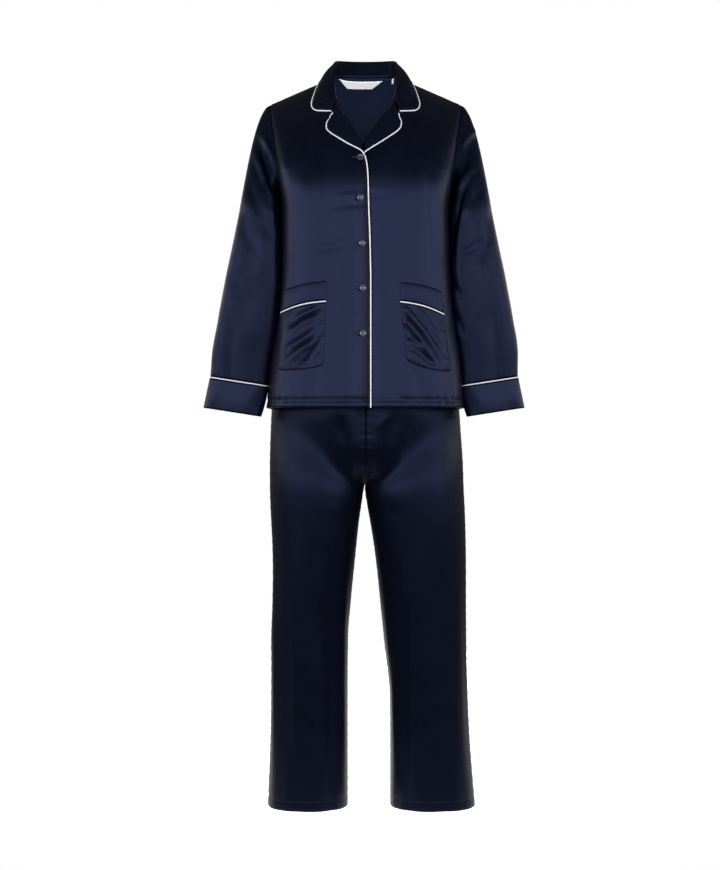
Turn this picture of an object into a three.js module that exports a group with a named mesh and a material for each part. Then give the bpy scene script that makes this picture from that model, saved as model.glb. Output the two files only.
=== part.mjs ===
// A satin pyjama set as it is worn: a long-sleeved jacket with a revere collar, five buttons and two
// patch pockets, over straight trousers with an elastic waist.
// Millimetres, +Z up. X runs to the viewer's right, so the wearer's right side has negative x, and the
// front faces -Y. The origin lies on the middle line at the height of the shoulders, 12 mm below the
// side neck points.

import * as THREE from "three";

const cloth = 1.6; // satin doubled by its seam allowances
const lapelCloth = 2.4; // two layers of satin and an interlining
const bandCloth = 3.0; // waistband over its elastic
const seamGap = 0.4;
const seamPart = 0.32; // each panel stops this short of its seam line
const cornerPart = 0.52; // and this short of a corner where three panels meet
const layGap = 0.9; // what lies on a panel clears its facets by this
const pipingRadius = 1.25;
const pipingReach = 1.8; // from a cloth's edge to the middle of its piping
const overlap = { lift: 3.4, fromX: -75, toX: -38, fromDown: 60, toDown: 115 };
const satinRoughness = 0.38;
const pipingRoughness = 0.5;
const navy = 0x141a3a;
const buttonNavy = 0x1b2038;
const piping = 0xf1f1ee;
const white = 0xf4f4f2;

// Jacket
const hemZ = -633;
const underarmZ = -242;
const neckTopZ = 28.4; // height that the shoulder line would have at the middle of the neck
const neckX = 62; // side neck point
const neckRound = 35; // the shoulder line bends over this radius at the middle
const neckDip = 0.034; // share of the yoke height that the back neckline drops
const neckRise = 4.4; // the back neckline is held level by this much
const sideY = 8; // the side seams lie a little behind the arms
const bust = 130;
const shoulderBlade = 118;
const bustZ = -202; // the front stays plumb up to here
const chestCurve = { up: 1.3, round: 0.8 }; // how the depth dies away from there to the shoulder
const backCurve = { up: 4, round: 0.55 };
const fullness = 2.45; // exponent of the jacket's rings: 2 is an ellipse, more is squarer
const trouserFullness = 2.25;

const bodyRings = [
  { z: hemZ, half: 189.5, front: 135, back: 130 },
  { z: -590, half: 186, front: 133, back: 127 },
  { z: -540, half: 181.5, front: 131, back: 124 },
  { z: -480, half: 172, front: 129, back: 121 },
  { z: -420, half: 165, front: 128, back: 119 },
  { z: -360, half: 162, front: 128, back: 118 },
  { z: -300, half: 160.5, front: 129, back: 118 },
  { z: underarmZ, half: 160, front: bust, back: shoulderBlade },
];

// The armhole seam. up: share of the way from underarm to shoulder. front and back: how far the seam
// reaches round the ring, as a share of its depth.
const armhole = [
  { up: 0, x: 160, z: -242, front: 0, back: 0 },
  { up: 0.12, x: 160.5, z: -239, front: 0.21, back: 0.23 },
  { up: 0.25, x: 163, z: -222, front: 0.35, back: 0.41 },
  { up: 0.4, x: 167, z: -190, front: 0.44, back: 0.51 },
  { up: 0.55, x: 171.5, z: -153, front: 0.47, back: 0.55 },
  { up: 0.7, x: 176.5, z: -115, front: 0.46, back: 0.52 },
  { up: 0.85, x: 182, z: -77, front: 0.42, back: 0.44 },
  { up: 1, x: 187, z: -42, front: 0.35, back: 0.35 },
];

// Free inner edge of each front, from the hem up past the roll of the lapel to the side neck point.
const rightFrontEdge = [
  { z: hemZ, x: 7.6 },
  { z: -400, x: 7.6 },
  { z: -309, x: 5.9 },
  { z: -249, x: 3.5 },
  { z: -200, x: 2.8 },
  { z: -171, x: 1.8 },
  { z: -164, x: 0.6 },
  { z: -157, x: -3.4 },
  { z: -151.4, x: -8 },
  { z: -134, x: -11 },
  { z: -85, x: -33 },
  { z: -41, x: -55.5 },
  { z: -20, x: -59.5 },
  { z: 5, x: -neckX },
];
const leftFrontEdge = [
  { z: hemZ, x: 22 },
  { z: -162, x: 22 },
  { z: -150, x: 15.5 },
  { z: -134, x: 5.5 },
  { z: -85, x: -26 },
  { z: -41, x: -54 },
  { z: -20, x: -59 },
  { z: 5, x: -neckX },
];

// Panel lines. The jacket's levels are heights up to the underarm, then shares of the yoke.
const lowerLevels = [hemZ, -610, -575, -530, -485, -440, -395, -345, -295];
const yokeLevels = [0, 0.12, 0.21, 0.29, 0.335, 0.4, 0.5, 0.6, 0.7, 0.79, 0.85, 0.91, 0.96, 1];
const vLevel = yokeLevels.indexOf(0.335);
const levels = [...lowerLevels, ...yokeLevels];
const gorgeLevel = yokeLevels.indexOf(0.79);
const frontColumns = 7;
const backNeck = [0, 20, 38, 53, neckX];

// Sleeve rings of the wearer's right arm from the biceps down, by the height of their middle.
const sleeveRings = [
  { z: -262, x: -201.7, y: -24, half: 42, depth: 64 },
  { z: -330, x: -208.2, y: -31, half: 49, depth: 56 },
  { z: -400, x: -215.9, y: -37, half: 55.6, depth: 47 },
  { z: -470, x: -225.7, y: -41, half: 58.3, depth: 39 },
  { z: -530, x: -236.9, y: -44, half: 58, depth: 31 },
  { z: -582, x: -242.6, y: -46, half: 56.4, depth: 25 },
  { z: -641, x: -255.7, y: -48, half: 55.3, depth: 22 },
];
const leftArmDrift = 6; // the left arm hangs this much closer at its cuff
const driftFrom = 490; // down the arm
const driftTo = 600;
const sleeveRingTilt = THREE.MathUtils.degToRad(8.8);
const bicepsZ = -262;
const cuffSeamZ = -582.6;
const cuffHemZ = -641;
const sleeveRound = 0.93; // exponent of the sleeve rings
const capSpring = { underarm: 14, shoulder: 92 }; // how far the cap carries on along the body's line
const cuffEase = 0.6;
const capSteps = [0, 0.1, 0.22, 0.36, 0.52, 0.74];
const armLevels = [-262, -300, -345, -390, -435, -480, -530, cuffSeamZ + pipingRadius + seamGap];

// Collar stations from the middle of the back to the gorge of the wearer's right side. roll is the
// fold along the top of the stand, edge the outer edge that carries the piping.
const collarStations = [
  { roll: [0, 48, 53], edge: [0, 70, 6] },
  { roll: [-22, 47, 53], edge: [-31, 67, 6] },
  { roll: [-41, 41, 52.5], edge: [-59, 56, 6] },
  { roll: [-53, 28, 50], edge: [-79, 33, 5] },
  { roll: [-57, 8, 42], edge: [-88, 2, 5.5] },
  { roll: [-60, -11, 23], edge: [-95, -17, -13.5] },
  { roll: [-61, -27, 3], edge: [-99.5, -31, -33] },
  { roll: [-60.5, -42, -18], edge: [-102.3, -41, -51.5] },
  { roll: [-58, -55, -36], edge: [-98.5, -47, -64] },
  { roll: [-57.6, -56.5, -38], edge: [-90, -53, -67.5] },
  { roll: [-57.2, -58, -40], edge: [-78, -58, -68] },
  { roll: [-56.8, -59.5, -42], edge: [-66, -63, -69] },
];
const collarSpring = 3; // how far the fall arches over the shoulder
const foldRadius = 1.3; // inner radius of the collar's fold

// Lapels: roll line and outer edge, from the gorge down to the top of the front edge.
const rightLapel = [
  { rollX: -56.3, rollZ: -45, edgeX: -64, edgeZ: -73 },
  { rollX: -51.5, rollZ: -53, edgeX: -66.8, edgeZ: -81 },
  { rollX: -46, rollZ: -63, edgeX: -71.8, edgeZ: -90.5 },
  { rollX: -40, rollZ: -75.5, edgeX: -73.3, edgeZ: -101 },
  { rollX: -33.5, rollZ: -89, edgeX: -67, edgeZ: -110.5 },
  { rollX: -27, rollZ: -102, edgeX: -55, edgeZ: -120.5 },
  { rollX: -20.5, rollZ: -115, edgeX: -40, edgeZ: -131 },
  { rollX: -14.5, rollZ: -127, edgeX: -23, edgeZ: -141 },
  { rollX: -8.5, rollZ: -138.5, edgeX: -6.5, edgeZ: -149.5 },
];
const leftLapel = [
  { rollX: 54, rollZ: -47, edgeX: 61, edgeZ: -73 },
  { rollX: 49, rollZ: -53, edgeX: 63, edgeZ: -81 },
  { rollX: 42.5, rollZ: -63, edgeX: 66.2, edgeZ: -90 },
  { rollX: 35, rollZ: -75.5, edgeX: 65, edgeZ: -99.5 },
  { rollX: 27, rollZ: -88.5, edgeX: 58.5, edgeZ: -108.5 },
  { rollX: 19, rollZ: -101.5, edgeX: 46, edgeZ: -118 },
  { rollX: 11, rollZ: -114, edgeX: 32, edgeZ: -128 },
  { rollX: 4, rollZ: -125, edgeX: 17, edgeZ: -138 },
  { rollX: -2.2, rollZ: -135.5, edgeX: 3, edgeZ: -147.5 },
];

// Patch pockets: the top of the band, the piped seam and the bottom edge. bow lifts a line's middle.
const rightPocket = {
  top: { innerX: -74, innerZ: -396, outerX: -153, outerZ: -411, bow: 3 },
  seam: { innerX: -75, innerZ: -432, outerX: -158, outerZ: -450, bow: 4 },
  bottom: { innerX: -82, innerZ: -549, outerX: -166, outerZ: -561, bow: -3 },
};
const bandHeight = 36;
const bagHeight = 115;
const pocketPipingProud = 0.4; // its cord stands this much prouder than the cloth's middle
const leftPocket = {
  top: { innerX: 66.5, innerZ: -398, outerX: 143, outerZ: -412, bow: 3 },
  seam: { innerX: 65, innerZ: -433, outerX: 148, outerZ: -453, bow: 4 },
  bottom: { innerX: 78, innerZ: -541, outerX: 162, outerZ: -562, bow: -5 },
};

const buttons = [
  { x: -9.9, z: -164 },
  { x: -9.9, z: -240.4 },
  { x: -6.8, z: -325.2 },
  { x: -5.2, z: -409.1 },
  { x: -5.2, z: -494 },
];
const buttonRadius = 6.2;
const buttonThick = 2.6;

const labelGap = 1.6;
const labelCloth = 1;
const neckLabel = { left: -53, right: 34, bottomLeft: -36.5, bottomRight: 12.5, top: 16, bottom: 4 };
const sizeTab = { left: 51.5, right: 57, bottomLeft: 51.5, bottomRight: 57, top: 14, bottom: 8 };

// Trousers
const waistZ = -452;
const bandSeamZ = -484;
const riseTopZ = -697; // the rise seam starts to curve under here
const hipBlendZ = -640; // the front and back start to part into legs here
const crotchZ = -787;
const legHemZ = -1404;
const hipY = 5;
const hipRings = [
  { z: -484, half: 130, front: 93, back: 100 },
  { z: -540, half: 160, front: 103, back: 113 },
  { z: -600, half: 178, front: 108, back: 120 },
  { z: -640, half: 183.5, front: 109, back: 121 },
  { z: -700, half: 185.5, front: 108, back: 122 },
  { z: -790, half: 188, front: 106, back: 118 },
];
const legRings = [
  { z: -790, rightOut: -186.5, rightIn: -2.2, leftOut: 191, leftIn: -2.2, front: 104, back: 112 },
  { z: -811, rightOut: -186.2, rightIn: -6.8, leftOut: 193, leftIn: 1, front: 102, back: 108 },
  { z: -850, rightOut: -184, rightIn: -12.7, leftOut: 194.5, leftIn: 8.8, front: 98, back: 103 },
  { z: -928, rightOut: -180.5, rightIn: -20.5, leftOut: 196, leftIn: 20.5, front: 91, back: 95 },
  { z: -1006, rightOut: -181.5, rightIn: -28.3, leftOut: 196, leftIn: 28.3, front: 85, back: 88 },
  { z: -1084, rightOut: -184, rightIn: -34, leftOut: 196.5, leftIn: 36.1, front: 80, back: 82 },
  { z: -1201, rightOut: -184.5, rightIn: -34.3, leftOut: 199.9, leftIn: 47.6, front: 75, back: 76 },
  { z: -1279, rightOut: -185.8, rightIn: -34.3, leftOut: 203.8, leftIn: 48, front: 73, back: 74 },
  { z: legHemZ, rightOut: -190.5, rightIn: -34.2, leftOut: 213.8, leftIn: 48, front: 71.5, back: 71.5 },
];
const hipLevels = [-484, -520, -560, -605, -650];
const riseShares = [0, 0.3, 0.52, 0.72, 0.87, 0.96, 1];
const legLevels = [-803, -825, -860, -910, -980, -1065, -1165, -1280, legHemZ];
const trouserColumns = 7;

// The largest folds, as soft troughs between two points of the front view (side -1) or the back view
// (side 1), with their half width and depth.
const jacketFolds = [
  { side: -1, x0: -214, z0: -92, x1: -166, z1: -236, width: 11, depth: 5 },
  { side: -1, x0: -226, z0: -170, x1: -176, z1: -330, width: 10, depth: 3 },
  { side: -1, x0: 214, z0: -96, x1: 180, z1: -190, width: 11, depth: 5 },
  { side: -1, x0: 180, z0: -190, x1: 166, z1: -300, width: 9, depth: 4 },
  { side: -1, x0: 222, z0: -160, x1: 186, z1: -260, width: 10, depth: 3 },
  { side: 1, x0: -214, z0: -96, x1: -170, z1: -250, width: 12, depth: 4 },
  { side: 1, x0: 214, z0: -96, x1: 170, z1: -250, width: 12, depth: 4 },
];
const trouserFolds = [
  { side: -1, x0: -4, z0: -600, x1: -2, z1: -770, width: 14, depth: 6 },
  { side: -1, x0: -55, z0: -640, x1: -34, z1: -770, width: 12, depth: 4 },
  { side: -1, x0: 62, z0: -630, x1: 22, z1: -760, width: 12, depth: 4 },
  { side: 1, x0: -60, z0: -690, x1: -20, z1: -800, width: 14, depth: 5 },
  { side: 1, x0: 60, z0: -690, x1: 20, z1: -800, width: 14, depth: 5 },
];

const point = (x, y, z) => new THREE.Vector3(x, y, z);
const mix = THREE.MathUtils.lerp;
const ease = (at, from, to) => THREE.MathUtils.smoothstep(at, from, to);

// A smooth curve through each column of a table, which never overshoots its rows.
function curveOf(table, key) {
  const rows = [...table].sort((a, b) => a[key] - b[key]);
  const last = rows.length - 1;
  return (column, at) => {
    if (at <= rows[0][key]) return rows[0][column];
    if (at >= rows[last][key]) return rows[last][column];
    const slope = (k) => (rows[k + 1][column] - rows[k][column]) / (rows[k + 1][key] - rows[k][key]);
    const tangent = (k) => {
      if (k === 0) return slope(0);
      if (k === last) return slope(last - 1);
      const [before, after] = [slope(k - 1), slope(k)];
      return before * after <= 0 ? 0 : (2 * before * after) / (before + after);
    };
    let k = 0;
    while (at > rows[k + 1][key]) k++;
    const span = rows[k + 1][key] - rows[k][key];
    const s = (at - rows[k][key]) / span;
    const start = rows[k][column] * (1 + 2 * s) + tangent(k) * span * s;
    const end = rows[k + 1][column] * (3 - 2 * s) - tangent(k + 1) * span * (1 - s);
    return start * (1 - s) ** 2 + end * s ** 2;
  };
}

const bodyAt = curveOf(bodyRings, "z");
const armholeAt = curveOf(armhole, "up");
const sleeveAt = curveOf(sleeveRings, "z");
const hipAt = curveOf(hipRings, "z");
const legAt = curveOf(legRings, "z");
const shoulderDrop = (x) => Math.hypot(x, neckRound) - neckRound;
const shoulderFall = (neckTopZ - armholeAt("z", 1)) / shoulderDrop(armholeAt("x", 1));

// Shape of the jacket at a level: a height below the underarm, or a share of the yoke above it.
function bodyLevel(level, side) {
  if (level < 0) {
    const depth = side < 0 ? sideY + bodyAt("front", level) : bodyAt("back", level) - sideY;
    const half = bodyAt("half", level);
    return { y: sideY, depth, reach: half, half, height: () => level };
  }
  const y = sideY * (1 - level);
  const back = shoulderBlade * (1 - level ** backCurve.up) ** backCurve.round - y * (1 - level);
  const reach = armholeAt("x", level);
  const held = armholeAt(side < 0 ? "front" : "back", level);
  const half = reach / (1 - held ** fullness) ** (1 / fullness);
  const middle = mix(underarmZ, neckTopZ, level);
  const fall = (middle - armholeAt("z", level)) / shoulderDrop(reach);
  const rise = (x) => (side > 0 && x < neckX ? Math.sin(Math.PI * (x / neckX) ** 1.4) : 0);
  const height = (x) => middle - fall * shoulderDrop(x) + neckRise * rise(x) * level ** 8;
  return { y, depth: back, reach, half, height };
}

// The front's depth above the underarm goes by the height over the bust, so that it bends on a level line.
function bodyPoint(level, side, x) {
  const at = bodyLevel(level, side);
  const round = Math.max(0, 1 - (Math.abs(x) / at.half) ** fullness) ** (1 / fullness);
  const z = at.height(Math.abs(x));
  let { depth } = at;
  if (side < 0 && level >= 0) {
    const tall = neckTopZ - shoulderFall * shoulderDrop(Math.abs(x)) - bustZ;
    const above = THREE.MathUtils.clamp((z - bustZ) / tall, 0, 1);
    depth = bust * (1 - above ** chestCurve.up) ** chestCurve.round + at.y;
  }
  return point(x, at.y + side * depth * round, z);
}

const angleOf = (x, half) => Math.sign(x) * Math.asin(Math.min(1, Math.abs(x) / half) ** (fullness / 2));
const widthOf = (angle, half) => Math.sign(angle) * half * Math.abs(Math.sin(angle)) ** (2 / fullness);

// The point of the jacket's front (side -1) or back (side 1) seen at x and z, moved out by lift.
function onBody(x, z, side, lift) {
  const depthAt = (px, pz) => {
    let [low, high] = [0, 1];
    for (let step = 0; step < 30 && pz > underarmZ; step++) {
      const middle = (low + high) / 2;
      if (bodyLevel(middle, side).height(Math.abs(px)) < pz) low = middle;
      else high = middle;
    }
    return bodyPoint(pz > underarmZ ? low : pz, side, px).y;
  };
  const step = 1;
  const slopeX = (depthAt(x + step, z) - depthAt(x - step, z)) / (2 * step);
  const slopeZ = (depthAt(x, z + step) - depthAt(x, z - step)) / (2 * step);
  const normal = point(-side * slopeX, side, -side * slopeZ).normalize();
  const surface = point(x, depthAt(x, z), z);
  return { p: surface.addScaledVector(normal, lift + foldOffset(jacketFolds, surface, normal)), n: normal };
}

// How far the folds move a point of the cloth along its normal.
function foldOffset(folds, p, normal) {
  let offset = 0;
  for (const fold of folds) {
    const facing = ease(fold.side * normal.y, 0.05, 0.5);
    const along = point(fold.x1 - fold.x0, 0, fold.z1 - fold.z0);
    const away = point(p.x - fold.x0, 0, p.z - fold.z0);
    const share = away.dot(along) / along.lengthSq();
    const held = THREE.MathUtils.clamp(share, 0, 1);
    const distance = away.addScaledVector(along, -held).length();
    const ends = ease(share, -0.15, 0.3) * ease(1 - share, -0.15, 0.3);
    offset -= facing * ends * fold.depth * Math.exp(-((distance / fold.width) ** 2));
  }
  return offset;
}

// The right front rides over the left one near the middle, up to where the lapels turn back.
const overlapAt = (x, z, right) => {
  const { lift, fromX, toX, fromDown, toDown } = overlap;
  return right ? lift * ease(x, fromX, toX) * ease(-z, fromDown, toDown) : 0;
};

// A panel is a grid of nodes: p on the outer face and n, the way out. A ring closes on itself.
function panelOf(points, outward, ring = false) {
  const columns = points[0].length;
  const wrap = (j) => (ring ? (j + columns) % columns : THREE.MathUtils.clamp(j, 0, columns - 1));
  const rows = points.map((row, i) => row.map((p, j) => {
    const above = points[Math.min(i + 1, points.length - 1)][j];
    const below = points[Math.max(i - 1, 0)][j];
    const n = row[wrap(j + 1)].clone().sub(row[wrap(j - 1)]).cross(above.clone().sub(below)).normalize();
    return { p, n };
  }));
  const facing = rows.flat().reduce((sum, node) => sum + node.n.dot(outward(node.p)), 0);
  if (facing < 0) rows.flat().forEach((node) => node.n.negate());
  return { rows, ring };
}

const fromMiddle = (x) => (p) => point(p.x - x, p.y, 0);

// The nodes on a panel's free edges, with the direction from the edge into the panel.
function edgeNodes({ rows, ring }) {
  const [high, wide] = [rows.length - 1, rows[0].length - 1];
  const found = [];
  rows.forEach((row, i) => row.forEach((node, j) => {
    const into = point(0, 0, 0);
    if (i === 0) into.add(rows[1][j].p).sub(node.p);
    if (i === high) into.add(rows[high - 1][j].p).sub(node.p);
    if (j === 0 && !ring) into.add(row[1].p).sub(node.p);
    if (j === wide && !ring) into.add(row[wide - 1].p).sub(node.p);
    if (into.length() > 0) found.push({ node, into: into.normalize() });
  }));
  return found;
}

// Panels that share edge points are seamed there: they take one common normal, so that their walls
// meet on a mitre, and part by the seam gap.
function seam(panels) {
  const edges = panels.map(edgeNodes);
  const done = new Set();
  edges.forEach((own, k) => own.forEach((first) => {
    if (done.has(first.node)) return;
    const others = edges.slice(k + 1).flat();
    const group = [first, ...others.filter(({ node }) => node.p.distanceTo(first.node.p) < 0.01)];
    if (group.length < 2) return;
    const ways = [];
    for (const { node } of group) if (ways.every((way) => way.dot(node.n) < 0.9)) ways.push(node.n);
    const normal = ways.reduce((sum, way) => sum.add(way), point(0, 0, 0)).normalize();
    const middle = group.reduce((sum, { into }) => sum.add(into), point(0, 0, 0));
    middle.divideScalar(group.length);
    group.forEach(({ node, into }) => {
      const apart = into.clone().sub(middle).normalize();
      const turn = normal.dot(node.n);
      node.stretch = turn > 0.6 ? 1 / turn : 0.7;
      node.n = normal.clone();
      node.p.addScaledVector(apart, group.length > 2 ? cornerPart : seamPart);
      done.add(node);
    });
  }));
}

function foldPanel({ rows }, folds) {
  for (const node of rows.flat()) node.p.addScaledVector(node.n, foldOffset(folds, node.p, node.n));
}

function solid(name, positions, triangles, color, roughness = satinRoughness) {
  const geometry = new THREE.BufferGeometry();
  const volume = triangles.reduce((sum, [a, b, c]) => {
    return sum + positions[a].dot(positions[b].clone().cross(positions[c]));
  }, 0);
  const facing = volume < 0 ? triangles.map(([a, b, c]) => [a, c, b]) : triangles;
  const numbers = positions.flatMap((p) => p.toArray());
  geometry.setAttribute("position", new THREE.Float32BufferAttribute(numbers, 3));
  geometry.setIndex(facing.flat());
  geometry.computeVertexNormals();
  const mesh = new THREE.Mesh(geometry, new THREE.MeshStandardMaterial({ color, roughness, metalness: 0 }));
  mesh.name = name;
  return mesh;
}

// A closed wall: the panel's outer face, an inner face that lies one thickness in, and the rims.
function wall(name, { rows, ring }, thick = cloth, color = navy) {
  const [high, wide] = [rows.length, rows[0].length];
  const nodes = rows.flat();
  const inner = nodes.map((node) => node.p.clone().addScaledVector(node.n, -thick * (node.stretch ?? 1)));
  const at = (i, j) => i * wide + (j % wide);
  const below = nodes.length;
  const quads = [];
  const columns = ring ? wide : wide - 1;
  for (let i = 0; i < high - 1; i++) {
    for (let j = 0; j < columns; j++) {
      const [a, b, c, d] = [at(i, j), at(i, j + 1), at(i + 1, j + 1), at(i + 1, j)];
      quads.push([a, b, c, d], [d + below, c + below, b + below, a + below]);
    }
  }
  for (let j = 0; j < columns; j++) {
    const [a, b, c, d] = [at(0, j), at(0, j + 1), at(high - 1, j), at(high - 1, j + 1)];
    quads.push([b, a, a + below, b + below], [c, d, d + below, c + below]);
  }
  for (let i = 0; i < high - 1 && !ring; i++) {
    const [a, b, c, d] = [at(i, 0), at(i + 1, 0), at(i, wide - 1), at(i + 1, wide - 1)];
    quads.push([a, b, b + below, a + below], [d, c, c + below, d + below]);
  }
  const triangles = quads.flatMap(([a, b, c, d]) => [[a, b, c], [a, c, d]]);
  return solid(name, [...nodes.map((node) => node.p), ...inner], triangles, color);
}

// A cord of round piping along points, with flat ends or closed on itself.
function cord(name, points, closed = false) {
  const sides = 6;
  const count = points.length;
  const positions = [];
  const triangles = [];
  let across = null;
  points.forEach((p, k) => {
    const after = points[closed ? (k + 1) % count : Math.min(k + 1, count - 1)];
    const before = points[closed ? (k + count - 1) % count : Math.max(k - 1, 0)];
    const tangent = after.clone().sub(before).normalize();
    across ??= point(0, 0, 1).addScaledVector(tangent, -tangent.z);
    across.addScaledVector(tangent, -across.dot(tangent)).normalize();
    const other = tangent.clone().cross(across);
    for (let side = 0; side < sides; side++) {
      const angle = (side / sides) * 2 * Math.PI;
      const ray = across.clone().multiplyScalar(Math.cos(angle)).addScaledVector(other, Math.sin(angle));
      positions.push(p.clone().addScaledVector(ray, pipingRadius));
    }
  });
  const at = (k, side) => (k % count) * sides + (side % sides);
  for (let k = 0; k < (closed ? count : count - 1); k++) {
    for (let side = 0; side < sides; side++) {
      const [a, b, c, d] = [at(k, side), at(k, side + 1), at(k + 1, side + 1), at(k + 1, side)];
      triangles.push([a, c, b], [a, d, c]);
    }
  }
  for (let side = 1; side < sides - 1 && !closed; side++) {
    triangles.push([at(0, 0), at(0, side), at(0, side + 1)]);
    triangles.push([at(count - 1, 0), at(count - 1, side + 1), at(count - 1, side)]);
  }
  return solid(name, positions, triangles, piping, pipingRoughness);
}

// Moves a point out to at least lift from the jacket's surface.
function clearOf(p, lift) {
  const side = p.y < 0 ? -1 : 1;
  const ridge = bodyLevel(1, side).height(Math.abs(p.x));
  const near = onBody(p.x, Math.min(p.z, ridge - 1), side, 0);
  const gap = p.clone().sub(near.p).dot(near.n);
  return gap < lift ? p.addScaledVector(near.n, lift - gap) : p;
}

// Piping sits beyond the middle of a wall's edge. edge: its nodes, each with the node next inside.
function beyondEdge(edge, thick = cloth) {
  const steps = edge.map(([node, inside], k) => {
    const before = node.p.clone().sub(edge[Math.max(k - 1, 0)][0].p).normalize();
    const after = edge[Math.min(k + 1, edge.length - 1)][0].p.clone().sub(node.p).normalize();
    const out = before.clone().add(after).cross(node.n).normalize();
    const corner = k > 0 && k < edge.length - 1 ? Math.sqrt((1 + before.dot(after)) / 2) : 1;
    return { node, out, corner, side: out.dot(node.p.clone().sub(inside.p)) };
  });
  const way = Math.sign(steps.reduce((sum, { side }) => sum + side, 0));
  return steps.map(({ node, out, corner }) => {
    const middle = node.p.clone().addScaledVector(node.n, -thick / 2);
    return middle.addScaledVector(out, (way * pipingReach) / corner);
  });
}

// Each front runs from its free edge or neckline to the side seam and the armhole.
function frontPanel(right) {
  const edgeAt = curveOf(right ? rightFrontEdge : leftFrontEdge, "z");
  const sign = right ? -1 : 1;
  const points = levels.map((level) => {
    const { half, reach, height } = bodyLevel(level, -1);
    let inner = -neckX;
    for (let step = 0; step < 12; step++) inner = edgeAt("x", height(Math.abs(inner)));
    const from = angleOf(-inner, half);
    const to = angleOf(reach, half);
    return Array.from({ length: frontColumns + 1 }, (unused, column) => {
      const share = column / frontColumns;
      const x = column === frontColumns ? reach : widthOf(mix(from, to, share), half);
      return bodyPoint(level, -1, sign * x);
    });
  });
  const panel = panelOf(points, fromMiddle(0));
  for (const node of panel.rows.flat()) {
    node.p.addScaledVector(node.n, overlapAt(node.p.x, node.p.z, right));
  }
  return panel;
}

// The back runs from armhole to armhole, under the neckline and both shoulder seams.
function backPanel() {
  const top = bodyLevel(1, 1);
  const shoulder = [angleOf(neckX, top.half), angleOf(top.reach, top.half)];
  const neckColumns = backNeck.length - 1;
  const half = neckColumns + frontColumns;
  const topAngles = Array.from({ length: half + 1 }, (unused, column) => {
    if (column < neckColumns) return angleOf(backNeck[column], top.half);
    return mix(...shoulder, (column - neckColumns) / frontColumns);
  });
  const points = levels.map((level) => Array.from({ length: 2 * half + 1 }, (unused, index) => {
    const column = Math.abs(index - half);
    const away = column < neckColumns ? 1 - (backNeck[column] / neckX) ** 2.2 : 0;
    const own = level > 0 ? level * (1 - neckDip * away) : level;
    const at = bodyLevel(own, 1);
    const share = mix(column / half, topAngles[column] / shoulder[1], ease(own, 0, 1));
    const x = column === half ? at.reach : widthOf(share * angleOf(at.reach, at.half), at.half);
    return bodyPoint(own, 1, Math.sign(index - half) * (column === neckColumns && own === 1 ? neckX : x));
  }));
  return panelOf(points, fromMiddle(0));
}

// A ring of the sleeve. angle 0 faces the body, a quarter turn on faces forward.
function sleevePoint(z, sign, angle, grow = 0) {
  const lean = sign > 0 ? -leftArmDrift * ease(-z, driftFrom, driftTo) : 0;
  const half = sleeveAt("half", z) + grow;
  const depth = sleeveAt("depth", z) + grow;
  const across = half * Math.sign(Math.cos(angle)) * Math.abs(Math.cos(angle)) ** sleeveRound;
  const x = -sleeveAt("x", z) + lean - across * Math.cos(sleeveRingTilt);
  const y = sleeveAt("y", z) - depth * Math.sign(Math.sin(angle)) * Math.abs(Math.sin(angle)) ** sleeveRound;
  return point(sign * x, y, z - across * Math.sin(sleeveRingTilt));
}

// The armhole seam from the underarm up the front and down the back, and the turn of each point.
function armholeSeam(sign) {
  const last = yokeLevels.length - 1;
  const rise = yokeLevels.map((level) => ({ level, side: -1 }));
  const fall = yokeLevels.slice(1, last).reverse().map((level) => ({ level, side: 1 }));
  const stations = [...rise, ...fall].map(({ level, side }) => {
    return { level, p: bodyPoint(level, side, sign * bodyLevel(level, side).reach) };
  });
  let length = 0;
  stations.forEach((station, k) => {
    if (k > 0) length += station.p.distanceTo(stations[k - 1].p);
    station.length = length;
  });
  const top = stations[last].length;
  const whole = length + stations.at(-1).p.distanceTo(stations[0].p);
  for (const station of stations) {
    const { length: run } = station;
    station.angle = Math.PI * (run <= top ? run / top : 1 + (run - top) / (whole - top));
  }
  return stations;
}

function sleevePanel(sign) {
  const stations = armholeSeam(sign);
  const cap = capSteps.map((s) => stations.map(({ level, p, angle }) => {
    const end = sleevePoint(bicepsZ, sign, angle);
    const leave = point(sign * (0.45 + 0.47 * level), 0, -(1 - 0.6 * level)).normalize();
    const arrive = point(sign * Math.sin(sleeveRingTilt), 0, -Math.cos(sleeveRingTilt));
    const reach = p.distanceTo(end);
    const start = p.clone().multiplyScalar((1 + 2 * s) * (1 - s) ** 2);
    start.addScaledVector(leave, mix(capSpring.underarm, capSpring.shoulder, level) * s * (1 - s) ** 2);
    start.addScaledVector(end, s * s * (3 - 2 * s));
    return start.addScaledVector(arrive, -reach * s * s * (1 - s));
  }));
  const arm = armLevels.map((z) => stations.map(({ angle }) => sleevePoint(z, sign, angle)));
  const middle = (p) => fromMiddle(sign * -sleeveAt("x", p.z))(p).add(point(0, -sleeveAt("y", p.z), 0));
  return panelOf([...cap, ...arm], middle, true);
}

function cuffRing(z, sign, grow) {
  return armholeSeam(sign).map(({ angle }) => sleevePoint(z, sign, angle, grow));
}

function cuffPanel(sign) {
  const rows = [cuffSeamZ - pipingRadius - seamGap, -612, cuffHemZ].map((z) => cuffRing(z, sign, cuffEase));
  return panelOf(rows, (p) => point(p.x - sign * -sleeveAt("x", p.z), p.y - sleeveAt("y", p.z), 0), true);
}

// The collar's outer line, which its piping follows from gorge to gorge.
function collarLine() {
  const half = collarStations.map(({ edge: [x, y, z] }) => point(-x, y, z));
  const mirrored = half.slice(1).reverse().map((p) => point(-p.x, p.y, p.z));
  return [...mirrored, ...half].map((p) => clearOf(p, pipingRadius + layGap));
}

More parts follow.
